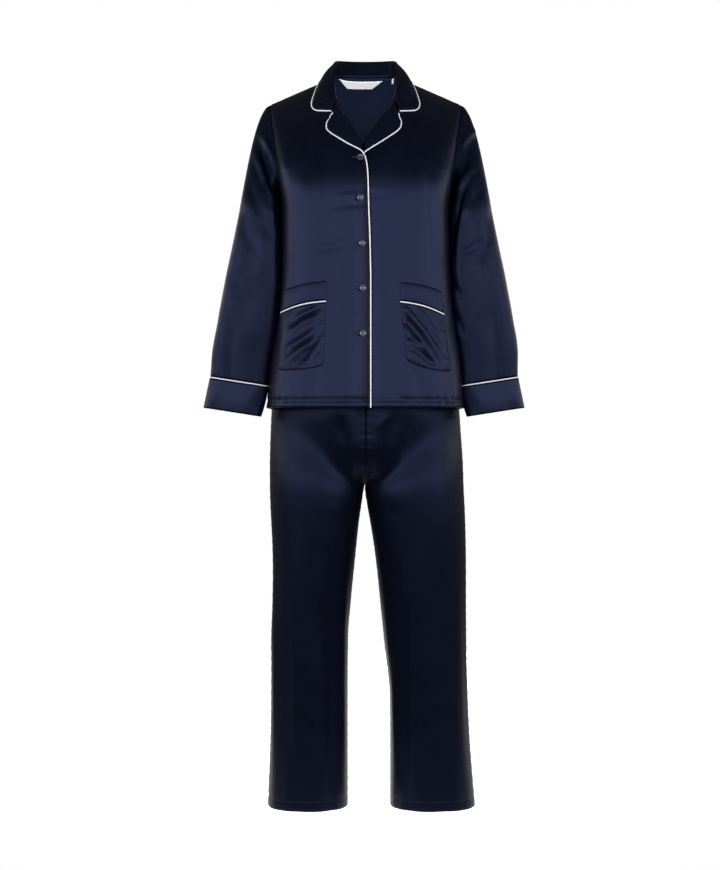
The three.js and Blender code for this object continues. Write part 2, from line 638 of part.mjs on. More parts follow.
// The collar's wall from its neck seam up the stand, over the roll and down the fall. Its nodes lie on
// the face turned to the neck seam, so that the wall grows towards the neck and over the fold.
function collarPanel(neckSeam) {
  const line = collarLine();
  const last = collarStations.length - 1;
  const rows = line.map((lineEnd, k) => {
    const index = k - last;
    const sign = index < 0 ? -1 : 1;
    const [x, y, z] = collarStations[Math.abs(index)].roll;
    const top = point(-sign * x, y, z);
    const foot = neckSeam(index) ?? top.clone().add(point(-sign * 1.2, 2.4, -3.2));
    const up = top.clone().sub(foot).normalize();
    const out = lineEnd.clone().sub(foot);
    out.addScaledVector(up, -out.dot(up)).normalize();
    const tall = top.distanceTo(foot);
    const at = (a, b) => foot.clone().addScaledVector(out, a).addScaledVector(up, b);
    const row = [0, 0.45, 0.8].map((s) => ({ p: at(0, (tall - foldRadius) * s), n: out.clone() }));
    for (const turn of [0, 60, 120, 180].map(THREE.MathUtils.degToRad)) {
      const [c, s] = [Math.cos(turn), Math.sin(turn)];
      const n = out.clone().multiplyScalar(c).addScaledVector(up, -s);
      row.push({ p: at(foldRadius * (1 - c), tall - foldRadius + foldRadius * s), n });
    }
    const start = row.at(-1).p;
    const fall = lineEnd.clone().sub(start);
    const way = fall.clone().normalize();
    const along = line[Math.min(k + 1, 2 * last)].clone().sub(line[Math.max(k - 1, 0)]).normalize();
    const square = Math.sqrt(1 - way.dot(along) ** 2);
    const under = along.clone().cross(way).normalize();
    if (under.dot(out) > 0) under.negate();
    fall.setLength(fall.length() - pipingReach / Math.max(0.4, square));
    for (const s of [0.3, 0.6, 0.85, 1]) {
      const n = out.clone().negate().lerp(under, ease(s, 0, 0.3)).normalize();
      const p = start.clone().addScaledVector(fall, s).addScaledVector(n, (s * cloth) / 2);
      p.addScaledVector(n, -collarSpring * Math.sin(Math.PI * s) * Math.min(1, fall.length() / 40));
      row.push({ p, n });
    }
    return row;
  });
  return { rows, ring: false };
}

// A lapel lies on its front, turned back along the roll line.
function lapelPanel(right) {
  const lift = layGap + lapelCloth;
  const rows = (right ? rightLapel : leftLapel).map(({ rollX, rollZ, edgeX, edgeZ }) => {
    return [0, 0.12, 0.4, 0.7, 1].map((s) => {
      const [x, z] = [mix(rollX, edgeX, s), mix(rollZ, edgeZ, s)];
      return onBody(x, z, -1, lift + overlapAt(x, z, right));
    });
  });
  return { rows, ring: false };
}

function pocketLine({ innerX, innerZ, outerX, outerZ, bow }, share) {
  return [mix(innerX, outerX, share), mix(innerZ, outerZ, share) + bow * Math.sin(Math.PI * share)];
}

function pocketPoint(line, next, s, share, lift) {
  const [x0, z0] = pocketLine(line, share);
  const [x1, z1] = pocketLine(next, share);
  return onBody(mix(x0, x1, s), mix(z0, z1, s), -1, lift);
}

function pocketParts(name, { top, seam: piped, bottom }) {
  const lift = layGap + cloth;
  const clear = pipingRadius + seamGap;
  const shares = [0, 0.14, 0.3, 0.46, 0.62, 0.78, 0.9, 1];
  const bandShare = 1 - clear / bandHeight;
  const bagShare = clear / bagHeight;
  const band = [0, 0.5, bandShare].map((s) => shares.map((share) => pocketPoint(top, piped, s, share, lift)));
  const bagRows = [bagShare, 0.2, 0.4, 0.6, 0.8, 0.94, 1];
  const bag = bagRows.map((s) => shares.map((share) => {
    const rounded = share * (1 - share) === 0 && s === 1 ? 0.96 : s;
    return pocketPoint(piped, bottom, rounded, share, lift);
  }));
  const line = shares.map((share) => pocketPoint(piped, bottom, 0, share, lift - cloth / 2 + pocketPipingProud).p);
  return [
    wall(`pocket_band_${name}`, { rows: band, ring: false }),
    wall(`pocket_${name}`, { rows: bag, ring: false }),
    cord(`pocket_piping_${name}`, line),
  ];
}

// A flat sewn-in label, held against the inside of the back.
function labelWall(name, { left, right, bottomLeft, bottomRight, top, bottom }) {
  const rows = [0, 0.5, 1].map((s) => [0, 0.25, 0.5, 0.75, 1].map((share) => {
    const x = mix(mix(left, right, share), mix(bottomLeft, bottomRight, share), s);
    return onBody(x, mix(top, bottom, s), 1, -cloth - labelGap);
  }));
  return wall(name, { rows, ring: false }, labelCloth, white);
}

// A sew-through button with a raised rim, turned to face along the cloth's normal.
function button(name, { x, z }) {
  const profile = [
    [0, 0], [buttonRadius - 1, 0], [buttonRadius, 0.8], [buttonRadius, 1.9], [buttonRadius - 0.9, buttonThick],
    [buttonRadius - 2, 2], [0, 1.7],
  ].map(([r, h]) => new THREE.Vector2(r, h));
  const geometry = new THREE.LatheGeometry(profile, 12);
  const material = new THREE.MeshStandardMaterial({ color: buttonNavy, roughness: 0.3, metalness: 0 });
  const mesh = new THREE.Mesh(geometry, material);
  const seat = onBody(x, z, -1, overlapAt(x, z, true) + seamGap);
  mesh.position.copy(seat.p);
  mesh.quaternion.setFromUnitVectors(point(0, 1, 0), seat.n);
  mesh.name = name;
  return mesh;
}

// A trouser point. share 0 is the rise seam and the inseam, share 1 the side seam.
function trouserPoint(z, sign, side, share) {
  const [out, inside] = sign < 0 ? ["rightOut", "rightIn"] : ["leftOut", "leftIn"];
  const hipTurn = (share * Math.PI) / 2;
  const hipDepth = side < 0 ? hipY + hipAt("front", z) : hipAt("back", z) - hipY;
  const hipX = sign * hipAt("half", z) * Math.sin(hipTurn) ** (2 / trouserFullness);
  const hip = point(hipX, hipY + side * hipDepth * Math.cos(hipTurn) ** (2 / trouserFullness), z);
  const legTurn = (share - 0.5) * Math.PI;
  const middle = (legAt(out, z) + legAt(inside, z)) / 2;
  const half = Math.abs(legAt(out, z) - legAt(inside, z)) / 2;
  const legDepth = side < 0 ? hipY + legAt("front", z) : legAt("back", z) - hipY;
  const legX = Math.sign(legTurn) * Math.abs(Math.sin(legTurn)) ** (2 / trouserFullness);
  const round = Math.max(0, Math.cos(legTurn)) ** (2 / trouserFullness);
  const leg = point(middle + sign * half * legX, hipY + side * legDepth * round, z);
  const under = THREE.MathUtils.clamp((riseTopZ - z) / (riseTopZ - crotchZ), 0, 1);
  const atRise = 1 - Math.sqrt(1 - under ** 2);
  const atSide = 1 - ease(z, crotchZ, hipBlendZ);
  return hip.lerp(leg, mix(atRise, atSide, ease(share, 0, 0.55)));
}

function trouserPanel(sign, side) {
  const riseLevels = riseShares.map((share) => mix(riseTopZ, crotchZ, share));
  const points = [...hipLevels, ...riseLevels, ...legLevels].map((z) => {
    return Array.from({ length: trouserColumns + 1 }, (unused, column) => {
      return trouserPoint(z, sign, side, column / trouserColumns);
    });
  });
  return panelOf(points, () => point(0, side, 0));
}

function waistband() {
  const rows = [waistZ, bandSeamZ + seamGap].map(() => []);
  const columns = 36;
  for (let column = 0; column < columns; column++) {
    const turn = (column / columns) * 2 * Math.PI;
    const [s, c] = [Math.sin(turn), Math.cos(turn)];
    const round = (value) => Math.sign(value) * Math.abs(value) ** (2 / trouserFullness);
    const depth = c > 0 ? hipY + hipAt("front", bandSeamZ) : hipAt("back", bandSeamZ) - hipY;
    const [x, y] = [hipAt("half", bandSeamZ) * round(s), hipY - depth * round(c)];
    rows[0].push(point(x, y, waistZ));
    rows[1].push(point(x, y, bandSeamZ + seamGap));
  }
  return panelOf(rows, fromMiddle(0), true);
}

const set = new THREE.Group();

const panels = {
  jacket_front_right: frontPanel(true),
  jacket_front_left: frontPanel(false),
  jacket_back: backPanel(),
  sleeve_right: sleevePanel(-1),
  sleeve_left: sleevePanel(1),
  trouser_front_right: trouserPanel(-1, -1),
  trouser_front_left: trouserPanel(1, -1),
  trouser_back_right: trouserPanel(-1, 1),
  trouser_back_left: trouserPanel(1, 1),
};

// The collar's neck seam: the back's top edge, then each front's neckline down to the gorge.
const backTop = panels.jacket_back.rows.at(-1);
const backMiddle = (backTop.length - 1) / 2;
const neckSeam = (index) => {
  const step = Math.abs(index);
  const front = index < 0 ? panels.jacket_front_right : panels.jacket_front_left;
  if (step < backNeck.length) return backTop[backMiddle + index].p.clone();
  const row = levels.length - 1 - (step - backNeck.length + 1);
  return row >= lowerLevels.length + gorgeLevel ? front.rows[row][0].p.clone() : null;
};
panels.collar = collarPanel(neckSeam);

seam(Object.values(panels));
for (const [name, panel] of Object.entries(panels)) {
  if (name !== "collar") foldPanel(panel, name.startsWith("trouser") ? trouserFolds : jacketFolds);
  set.add(wall(name, panel));
}

for (const [name, sign] of [["right", -1], ["left", 1]]) {
  const lapel = lapelPanel(sign < 0);
  set.add(wall(`lapel_${name}`, lapel, lapelCloth));
  const lapelEdge = lapel.rows.map((row) => [row.at(-1), row.at(-2)]);
  const line = beyondEdge(lapelEdge, lapelCloth).map((p) => clearOf(p, pipingRadius + layGap));
  if (sign < 0) {
    const front = panels.jacket_front_right.rows;
    const edge = front.slice(0, lowerLevels.length + vLevel).reverse().map((row) => [row[0], row[1]]);
    line.push(...beyondEdge(edge));
  }
  set.add(cord(`front_piping_${name}`, line));
  set.add(wall(`cuff_${name}`, cuffPanel(sign)));
  set.add(cord(`cuff_piping_${name}`, cuffRing(cuffSeamZ, sign, -cloth / 2), true));
  pocketParts(name, sign < 0 ? rightPocket : leftPocket).forEach((mesh) => set.add(mesh));
}

set.add(cord("collar_piping", collarLine()));

buttons.forEach((place, k) => set.add(button(`button_${k + 1}`, place)));
set.add(labelWall("neck_label", neckLabel));
set.add(labelWall("size_tab", sizeTab));
set.add(wall("waistband", waistband(), bandCloth));

export default set;
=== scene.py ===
import math

import bpy
import numpy as np
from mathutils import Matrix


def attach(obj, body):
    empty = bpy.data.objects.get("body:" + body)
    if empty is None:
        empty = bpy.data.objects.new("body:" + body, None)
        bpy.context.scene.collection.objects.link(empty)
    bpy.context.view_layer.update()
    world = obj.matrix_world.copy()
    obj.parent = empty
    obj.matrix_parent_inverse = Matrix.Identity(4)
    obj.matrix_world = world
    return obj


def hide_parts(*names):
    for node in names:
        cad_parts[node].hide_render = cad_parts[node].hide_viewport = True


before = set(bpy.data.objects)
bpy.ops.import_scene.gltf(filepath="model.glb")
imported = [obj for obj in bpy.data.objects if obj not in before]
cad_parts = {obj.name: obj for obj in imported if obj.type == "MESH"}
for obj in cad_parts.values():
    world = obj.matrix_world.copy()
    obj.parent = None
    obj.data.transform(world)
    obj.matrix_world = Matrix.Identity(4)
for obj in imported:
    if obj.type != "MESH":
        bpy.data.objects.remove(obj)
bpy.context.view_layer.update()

# A satin pyjama set as it is worn. Sizes here are millimetres until a mesh is made.
# +X is the viewer's right, the front faces -Y, and the origin lies at the height of the shoulders.

view = {
    "distance": 3300,  # from the camera to the shoulder line
    "across": -10.7,
    "height": -684.5,
    "frameHeight": 1696.5,  # what the frame spans at the shoulder line
}
camera = bpy.data.objects.new("camera", bpy.data.cameras.new("camera"))
camera.data.sensor_width = 36
camera.data.lens = 36 * view["distance"] / view["frameHeight"]
camera.data.clip_end = 50
camera.location = (view["across"] / 1000, -view["distance"] / 1000, view["height"] / 1000)
camera.rotation_euler = (math.pi / 2, 0, 0)
bpy.context.scene.collection.objects.link(camera)
bpy.context.scene.camera = camera
print("camera set")


# Materials
def fromHex(text):
    channels = [int(text[k:k + 2], 16) / 255 for k in (1, 3, 5)]
    return [c / 12.92 if c <= 0.04045 else ((c + 0.055) / 1.055) ** 2.4 for c in channels] + [1]


def addNode(tree, kind, settings=None, links=None):
    node = tree.nodes.new(kind)
    for key, value in (settings or {}).items():
        if isinstance(key, int) or key in node.inputs:
            node.inputs[key].default_value = value
        else:
            setattr(node, key, value)
    for key, source in (links or {}).items():
        tree.links.new(source, node.inputs[key])
    return node


def newMaterial(name):
    material = bpy.data.materials.new(name)
    material.use_nodes = True
    return material, material.node_tree, material.node_tree.nodes["Principled BSDF"]


def setShader(shader, values):
    for key, value in values.items():
        shader.inputs[key].default_value = value


def tinted(tree, shader, source, deep, lit, low=0.0, high=1.0):
    # the base colour runs from deep to lit as the source runs from low to high
    colour = addNode(tree, "ShaderNodeValToRGB", {}, {"Fac": source})
    ends = colour.color_ramp.elements
    ends[0].position, ends[0].color = low, fromHex(deep)
    ends[1].position, ends[1].color = high, fromHex(lit)
    tree.links.new(colour.outputs["Color"], shader.inputs["Base Color"])


def raised(tree, shader, source, strength, distance):
    bump = addNode(tree, "ShaderNodeBump", {"Strength": strength, "Distance": distance}, {"Height": source})
    tree.links.new(bump.outputs["Normal"], shader.inputs["Normal"])


def onCut(tree, scale):
    # the place on the flat cut, scaled up from metres
    place = addNode(tree, "ShaderNodeUVMap", {"uv_map": "cut"})
    scaled = addNode(tree, "ShaderNodeMapping", {"Scale": scale}, {"Vector": place.outputs["UV"]})
    return scaled.outputs["Vector"]


satin = {
    "deep": "#030409",
    "lit": "#060813",
    "shine": "#9fb2ff",  # dyed threads give a navy gloss, not a white one
    "gloss": 0.18,
    "shadedLegGloss": 0.105,  # of the trousers: a duller copy of the same satin, which paints shade onto the legs
    "roughness": 0.42,
    "roughnessReach": 0.04,  # the slubs change it by this much
    "acrossThreads": 0.5,  # how much wider the gloss spreads across the floats than along them
    "streakWidth": 0.9,  # mm between slubs across the warp, drawn coarser than the 0.1 mm threads
    "streakLength": 26,
    "clouds": 14,  # broad changes of tone in a metre
    "cloudShare": 0.35,
    "weave": 83.333333,  # texture units in a metre, drawn far coarser than woven so that it shows
    "weaveShare": 0.3,
    "relief": (0.08, 0.0005),  # strength, and depth in metres
}
dullSide = {
    "deep": "#0f182f",
    "lit": "#182747",
    "crepe": 9,
    "relief": (0.15, 0.0004),
    "roughness": 0.7,
    "gloss": 0.25,
}


def wovenSatin(name, gloss):
    # polyester charmeuse, woven with long floats: a broad soft shine that is wide across the warp
    material, tree, shader = newMaterial(name)
    streaks = (1000 / satin["streakWidth"], 1000 / satin["streakLength"], 1)
    slub = addNode(tree, "ShaderNodeTexNoise", {"Scale": 1, "Detail": 3, "Roughness": 0.55}, {
        "Vector": onCut(tree, streaks)})
    cloud = addNode(tree, "ShaderNodeTexNoise", {"Scale": satin["clouds"], "Detail": 2, "Roughness": 0.5}, {
        "Vector": onCut(tree, (1, 1, 1))})
    weave = addNode(tree, "ShaderNodeTexWave", {
        "Scale": 1, "Distortion": 1.2, "Detail": 2, "bands_direction": "DIAGONAL"}, {
        "Vector": onCut(tree, [satin["weave"]] * 3)})
    tint = addNode(tree, "ShaderNodeMix", {"data_type": "FLOAT", "Factor": satin["cloudShare"]}, {
        "A": slub.outputs["Fac"], "B": cloud.outputs["Fac"]})
    relief = addNode(tree, "ShaderNodeMix", {"data_type": "FLOAT", "Factor": satin["weaveShare"]}, {
        "A": slub.outputs["Fac"], "B": weave.outputs["Fac"]})
    rough = addNode(tree, "ShaderNodeMapRange", {
        "From Min": 0.25, "From Max": 0.75,
        "To Min": satin["roughness"] - satin["roughnessReach"],
        "To Max": satin["roughness"] + satin["roughnessReach"]}, {"Value": slub.outputs["Fac"]})
    weft = addNode(tree, "ShaderNodeTangent", {"direction_type": "UV_MAP", "uv_map": "cut"})
    tinted(tree, shader, tint.outputs["Result"], satin["deep"], satin["lit"], 0.3, 0.7)
    raised(tree, shader, relief.outputs["Result"], *satin["relief"])
    tree.links.new(rough.outputs["Result"], shader.inputs["Roughness"])
    tree.links.new(weft.outputs["Tangent"], shader.inputs["Tangent"])
    setShader(shader, {"Specular IOR Level": gloss, "Specular Tint": fromHex(satin["shine"]), "IOR": 1.5,
        "Anisotropic": satin["acrossThreads"]})
    return material


def satinBack():
    # the dull side of the satin, where the weft shows: matt, and bluer than the face
    material, tree, shader = newMaterial("satinBack")
    crepe = addNode(tree, "ShaderNodeTexNoise", {"Scale": dullSide["crepe"], "Detail": 3, "Roughness": 0.6}, {
        "Vector": onCut(tree, [satin["weave"]] * 3)})
    tinted(tree, shader, crepe.outputs["Fac"], dullSide["deep"], dullSide["lit"], 0.25, 0.75)
    raised(tree, shader, crepe.outputs["Fac"], *dullSide["relief"])
    setShader(shader, {"Roughness": dullSide["roughness"], "Specular IOR Level": dullSide["gloss"]})
    return material


trims = {
    "satinBias": {  # white bias strip over a cotton cord: bright, with the faint slant of the strip
        "texture": "ShaderNodeTexWave",
        "settings": {"Scale": 260, "Distortion": 2, "Detail": 2, "bands_direction": "DIAGONAL"},
        "tint": ("#b0b0b5", "#cecece"),
        "relief": (0.25, 0.0003),
        "shader": {"Roughness": 0.45},
    },
    "turnedPolyester": {  # cast button, turned and polished: dark, glossy, faintly cloudy
        "texture": "ShaderNodeTexNoise",
        "settings": {"Scale": 380, "Detail": 2},
        "tint": ("#1a1c2b", "#303246"),
        "shader": {"Roughness": 0.3, "Coat Weight": 0.15},
    },
    "wovenDamask": {  # label ribbon: matt, with a fine cross rib, and a faint painted glow that makes it whiter than white
        "texture": "ShaderNodeTexWave",
        "settings": {"Scale": 420, "bands_direction": "Z"},
        "tint": ("#f0f2f8", "#ffffff"),
        "relief": (0.3, 0.0002),
        # the emission is a painted glow that brightens the label
        "shader": {"Roughness": 0.7, "Emission Color": fromHex("#f4f6ff"), "Emission Strength": 0.18},
    },
    "spunThread": {  # polyester sewing thread: the cloth's navy, drier and a little lighter
        "texture": "ShaderNodeTexWave",
        "settings": {"Scale": 900, "bands_direction": "DIAGONAL"},
        "tint": ("#060814", "#0f1328"),
        "shader": {"Roughness": 0.6},
    },
}


def trimFinish(name):
    trim = trims[name]
    material, tree, shader = newMaterial(name)
    place = addNode(tree, "ShaderNodeTexCoord")
    texture = addNode(tree, trim["texture"], trim["settings"], {"Vector": place.outputs["Object"]})
    tinted(tree, shader, texture.outputs["Fac"], *trim["tint"])
    if "relief" in trim:
        raised(tree, shader, texture.outputs["Fac"], *trim["relief"])
    setShader(shader, trim["shader"])
    return material


clothFinish = wovenSatin("wovenSatin", satin["gloss"])
# the trousers get a less glossy copy of the jacket's satin: painted shade on the legs
legFinish = wovenSatin("wovenSatinShadedLegs", satin["shadedLegGloss"])
dullFinish = satinBack()
cordFinish, buttonFinish, labelFinish, threadFinish = [trimFinish(name) for name in trims]
print("materials made")


# Curves and grids
def table(names, *rows):
    return {name: np.array(column, float) for name, column in zip(names.split(), zip(*sorted(rows)))}


def curveAt(rows, column, at):
    x, v = next(iter(rows.values())), rows[column]
    slope = np.diff(v) / np.diff(x)
    before, after = slope[:-1], slope[1:]
    rising = before * after > 0
    inner = np.where(rising, 2 * before * after / np.where(rising, before + after, 1), 0)
    tangent = np.concatenate([slope[:1], inner, slope[-1:]])
    at = np.clip(at, x[0], x[-1])
    k = np.clip(np.searchsorted(x, at, side="right") - 1, 0, len(x) - 2)
    span = x[k + 1] - x[k]
    s = (at - x[k]) / span
    start = v[k] * (1 + 2 * s) + tangent[k] * span * s
    end = v[k + 1] * (3 - 2 * s) - tangent[k + 1] * span * (1 - s)
    return start * (1 - s) ** 2 + end * s ** 2


def ease(at, low, high):
    s = np.clip((at - low) / (high - low), 0, 1)
    return s * s * (3 - 2 * s)


def mix(a, b, s):
    return a + (b - a) * s


def smoothed(values, passes):
    for again in range(passes):
        values[1:-1] = (values[:-2] + 2 * values[1:-1] + values[2:]) / 4
    return values


def unit(v):
    return v / np.maximum(np.linalg.norm(v, axis=-1, keepdims=True), 1e-9)


def stack(x, y, z):
    return np.stack(np.broadcast_arrays(x, y, z), axis=-1).astype(float)


def normalsOf(grid, like, ring=False):
    if ring:
        padded = np.concatenate([grid[:, -1:], grid, grid[:, :1]], axis=1)
        across = np.gradient(padded, axis=1)[:, 1:-1]
    else:
        across = np.gradient(grid, axis=1)
    n = unit(np.cross(across, np.gradient(grid, axis=0)))
    return n if (n * like).sum() > 0 else -n


def alongLengths(grid, axis):
    steps = np.linalg.norm(np.diff(grid, axis=axis), axis=-1)
    start = np.zeros_like(steps[:1] if axis == 0 else steps[:, :1])
    return np.concatenate([start, np.cumsum(steps, axis=axis)], axis=axis)


# Jacket
jacket = {
    "cloth": 1.6,
    "lapelCloth": 2.4,
    "bandCloth": 3.0,
    "layGap": 0.9,  # what lies on a panel clears it by this
    "pipingRadius": 1.25,
    "pipingReach": 1.8,  # from a cloth's edge to the middle of its piping
    "cordStep": 1.6,  # between two rings of a cord
    "underarm": -242,
    "hem": -633,
    "hemDeep": 14,
    "hemAmount": 2,
    "neckTop": 28.4,  # height that the shoulder line would have at the middle of the neck
    "neckRound": 35,  # it bends over this radius there
    "neckX": 62,  # side neck point
    "neckDip": 0.034,  # share of the height that the back neckline drops
    "neckRise": 4.4,  # the back neckline is held level by this much
    "sideY": 8,  # the side seams lie a little behind the arms
    "bust": 130,
    "bustHeight": -208,  # the front is plumb up to here
    "bustTurn": 14,  # and leans back from there over about this height
    "bustWaves": ((4, 33, 0.6), (3, 14, 0), (2, 5.3, 0)),  # height, span and start of each, along the turn
    "waveFade": (-180, -110),
    "chestCurve": (1.38, 0.8),  # how the depth dies away up to the shoulder
    "shoulderBlade": 118,
    "backCurve": (4, 0.55),
    "fullness": 5.0,  # exponent of the rings: 2 is an ellipse, more is squarer
    "seamPinch": 0.5,
    "edgeStitch": 3,
    "lapelFoot": -168,
    "smoothing": 40,  # passes over the rows near the underarm
}
overlap = {"lift": 3.4, "fromX": -75, "toX": -38, "fromDown": 60, "toDown": 115}

bodyRings = table("z half front back",
    (-633, 189.5, 135, 130), (-590, 186, 133, 127), (-540, 181.5, 131, 124), (-480, 172, 129, 121),
    (-420, 165, 128, 119), (-360, 162, 128, 118), (-300, 160.5, 129, 118), (-242, 160, 130, 118))
armhole = table("up x z front back",
    (0, 160, -242, 0, 0), (0.12, 160.5, -239, 0.21, 0.23), (0.25, 163, -222, 0.35, 0.41),
    (0.4, 167, -190, 0.44, 0.51), (0.55, 171.5, -153, 0.47, 0.55), (0.7, 176.5, -115, 0.46, 0.52),
    (0.85, 182, -77, 0.42, 0.44), (1, 187, -42, 0.35, 0.35))
rightFrontEdge = table("z x",
    (-633, 7.6), (-400, 7.6), (-309, 5.9), (-249, 3.5), (-200, 2.8), (-171, 1.8), (-164, 0.6), (-157, -2.5),
    (-151.4, -6.5), (-134, -11), (-85, -33), (-41, -55.5), (-20, -59.5), (5, -62))
leftFrontEdge = table("z x",
    (-633, 22), (-162, 22), (-150, 15.5), (-134, 5.5), (-85, -26), (-41, -54), (-20, -59), (5, -62))


def bodyShape(level, side):
    up, low = np.maximum(level, 0), level < 0
    y = jacket["sideY"] * (1 - up)
    reach = np.where(low, curveAt(bodyRings, "half", level), curveAt(armhole, "x", up))
    held = np.where(low, 0, curveAt(armhole, "front" if side < 0 else "back", up))
    half = reach / (1 - held ** jacket["fullness"]) ** (1 / jacket["fullness"])
    if side < 0:
        depth = y + curveAt(bodyRings, "front", level)
    else:
        rising, bend = jacket["backCurve"]
        blade = jacket["shoulderBlade"] * (1 - up ** rising) ** bend - y * (1 - up)
        depth = np.where(low, curveAt(bodyRings, "back", level) - y, blade)
    return y, depth, reach, half


def shoulderDrop(x):
    return np.hypot(x, jacket["neckRound"]) - jacket["neckRound"]


def heightAt(level, side, x):
    up = np.maximum(level, 0)
    reach = curveAt(armhole, "x", up)
    middle = mix(jacket["underarm"], jacket["neckTop"], up)
    fall = (middle - curveAt(armhole, "z", up)) / shoulderDrop(reach)
    arch = np.sin(np.pi * (np.minimum(x, jacket["neckX"]) / jacket["neckX"]) ** 1.4) if side > 0 else 0
    height = middle - fall * shoulderDrop(x) + jacket["neckRise"] * arch * up ** 8
    return np.where(level < 0, level, height)


def bodyPoint(level, side, x):
    y, depth, _, half = bodyShape(level, side)
    away = np.minimum(np.abs(x) / half, 1)
    turned = (1 - away ** jacket["fullness"]) ** (1 / jacket["fullness"])
    z = heightAt(level, side, np.abs(x))
    if side < 0:
        wave = sum(high * np.sin(x / span + start) for high, span, start in jacket["bustWaves"])
        above = z - jacket["bustHeight"] - wave * (1 - ease(z, *jacket["waveFade"]))
        tall = heightAt(np.ones_like(z), side, np.abs(x)) - jacket["bustHeight"]
        above = np.clip((above + np.hypot(above, jacket["bustTurn"])) / 2 / tall, 0, 1)
        rising, bend = jacket["chestCurve"]
        depth = np.where(level < 0, depth, jacket["bust"] * (1 - above ** rising) ** bend + y)
    return stack(x, y + side * depth * turned, z)


def angleOf(x, half):
    return np.sign(x) * np.arcsin(np.minimum(1, np.abs(x) / half) ** (jacket["fullness"] / 2))


def widthOf(angle, half):
    return np.sign(angle) * half * np.abs(np.sin(angle)) ** (2 / jacket["fullness"])


def depthAt(x, z, side):
    low, high = np.zeros_like(x), np.ones_like(x)
    for halving in range(26):
        middle = (low + high) / 2
        under = heightAt(middle, side, np.abs(x)) < z
        low, high = np.where(under, middle, low), np.where(under, high, middle)
    return bodyPoint(np.where(z > jacket["underarm"], low, z), side, x)[..., 1]


def overlapAt(x, z, right):
    lift = overlap["lift"] * ease(x, overlap["fromX"], overlap["toX"])
    return lift * ease(-z, overlap["fromDown"], overlap["toDown"]) if right else np.zeros_like(x)


# Creases: front (-1) or back (1), half width, depth (a trough is below 0), and the line in x and z
creaseShape = {
    "ends": (-0.02, 0.3),  # share of its length over which each end fades
    "facing": (0.05, 0.5),  # it fades where the cloth turns to the side
    "start": 1.15,  # its width at the start, as a share
    "taper": 0.3,
}
bodyCreases = [
    (-1, 11, -5, [(-214, -92), (-166, -236)]),
    (-1, 10, -3, [(-226, -170), (-176, -330)]),
    (-1, 11, -5, [(214, -96), (180, -190)]),
    (-1, 9, -4, [(180, -190), (166, -300)]),
    (-1, 10, -3, [(222, -160), (186, -260)]),
    (1, 12, -4, [(-214, -96), (-170, -250)]),
    (1, 12, -4, [(214, -96), (170, -250)]),
    (-1, 3.5, -1.3, [(110, -190), (121, -318), (126, -410)]),
    (-1, 3.5, -0.9, [(-72, -200), (-73, -300), (-72, -393)]),
    (-1, 12, -2.4, [(62, -470), (48, -545), (36, -601), (20, -650)]),
    (-1, 6, -1.5, [(45, -596), (74, -619), (96, -650)]),
    (-1, 12, -2.0, [(84, -540), (104, -600), (118, -680)]),
    (-1, 12, -2.6, [(166, -450), (158, -560), (152, -680)]),
    (-1, 12, -1.8, [(-76, -500), (-96, -580), (-110, -690)]),
    (-1, 12, -2.4, [(-162, -450), (-166, -560), (-170, -690)]),
    (-1, 5, -1.6, [(-4, -205), (0, -243), (-3, -275)]),
    (-1, 4, 1.1, [(-18, -214), (-30, -232), (-48, -242)]),
    (-1, 5, -1.1, [(-8, -214), (-34, -250), (-74, -266)]),
    (-1, 8, -1.0, [(-6, -300), (-50, -330), (-110, -340)]),
    (-1, 4, -1.0, [(-8, -402), (-38, -407), (-62, -404)]),
    (-1, 9, -2.0, [(30, -300), (26, -420), (34, -520)]),
    (-1, 13, -2.2, [(-40, -430), (-46, -520), (-52, -610)]),
    (-1, 12, -2.0, [(60, -430), (66, -520), (58, -600)]),
    (-1, 12, -1.8, [(-150, -330), (-140, -400), (-150, -470)]),
    (-1, 12, -1.6, [(150, -340), (140, -402), (148, -460)]),
    (-1, 9, -1.2, [(-60, -70), (-84, -120), (-90, -180)]),
    (-1, 9, -1.3, [(74, -66), (96, -118), (100, -170)]),
    (1, 10, -2.6, [(-40, -60), (-66, -110), (-84, -170)]),
    (1, 10, -2.2, [(52, -60), (74, -118), (88, -186)]),
    (1, 9, -2.4, [(-130, -230), (-100, -262), (-56, -280)]),
    (1, 9, -2.2, [(132, -236), (104, -262), (70, -270)]),
    (1, 14, -3.4, [(-92, -300), (-104, -420), (-112, -620)]),
    (1, 13, -3.0, [(-36, -340), (-30, -470), (-38, -622)]),
    (1, 14, -3.2, [(34, -300), (40, -430), (30, -610)]),
    (1, 13, -3.4, [(104, -320), (110, -440), (122, -622)]),
    (1, 9, 1.8, [(-66, -360), (-70, -500), (-76, -600)]),
    (1, 9, 1.6, [(72, -380), (74, -500), (80, -610)]),
]
armholeCreases = bodyCreases[:7]  # these run on over the sleeves


def creaseOffset(grid, normals, creases):
    flat, facing = grid.reshape(-1, 3), normals.reshape(-1, 3)[:, 1]
    place = flat[:, [0, 2]]
    total = np.zeros(len(flat))
    for side, width, depth, line in creases:
        line = np.array(line, float)
        lengths = np.linalg.norm(np.diff(line, axis=0), axis=1)
        start = np.concatenate([[0], np.cumsum(lengths)])
        near, share = np.full(len(flat), 1e9), np.zeros(len(flat))
        for k, length in enumerate(lengths):
            way = (line[k + 1] - line[k]) / length
            run = np.clip((place - line[k]) @ way, 0, length)
            gap = np.linalg.norm(place - line[k] - run[:, None] * way, axis=1)
            closer = gap < near
            near, share = np.where(closer, gap, near), np.where(closer, (start[k] + run) / start[-1], share)
        ends = ease(share, *creaseShape["ends"]) * ease(1 - share, *creaseShape["ends"])
        seen = ease(side * facing, *creaseShape["facing"])
        wide = width * (creaseShape["start"] - creaseShape["taper"] * share)
        total += seen * ends * depth * np.exp(-(near / wide) ** 2)
    return total.reshape(grid.shape[:-1])


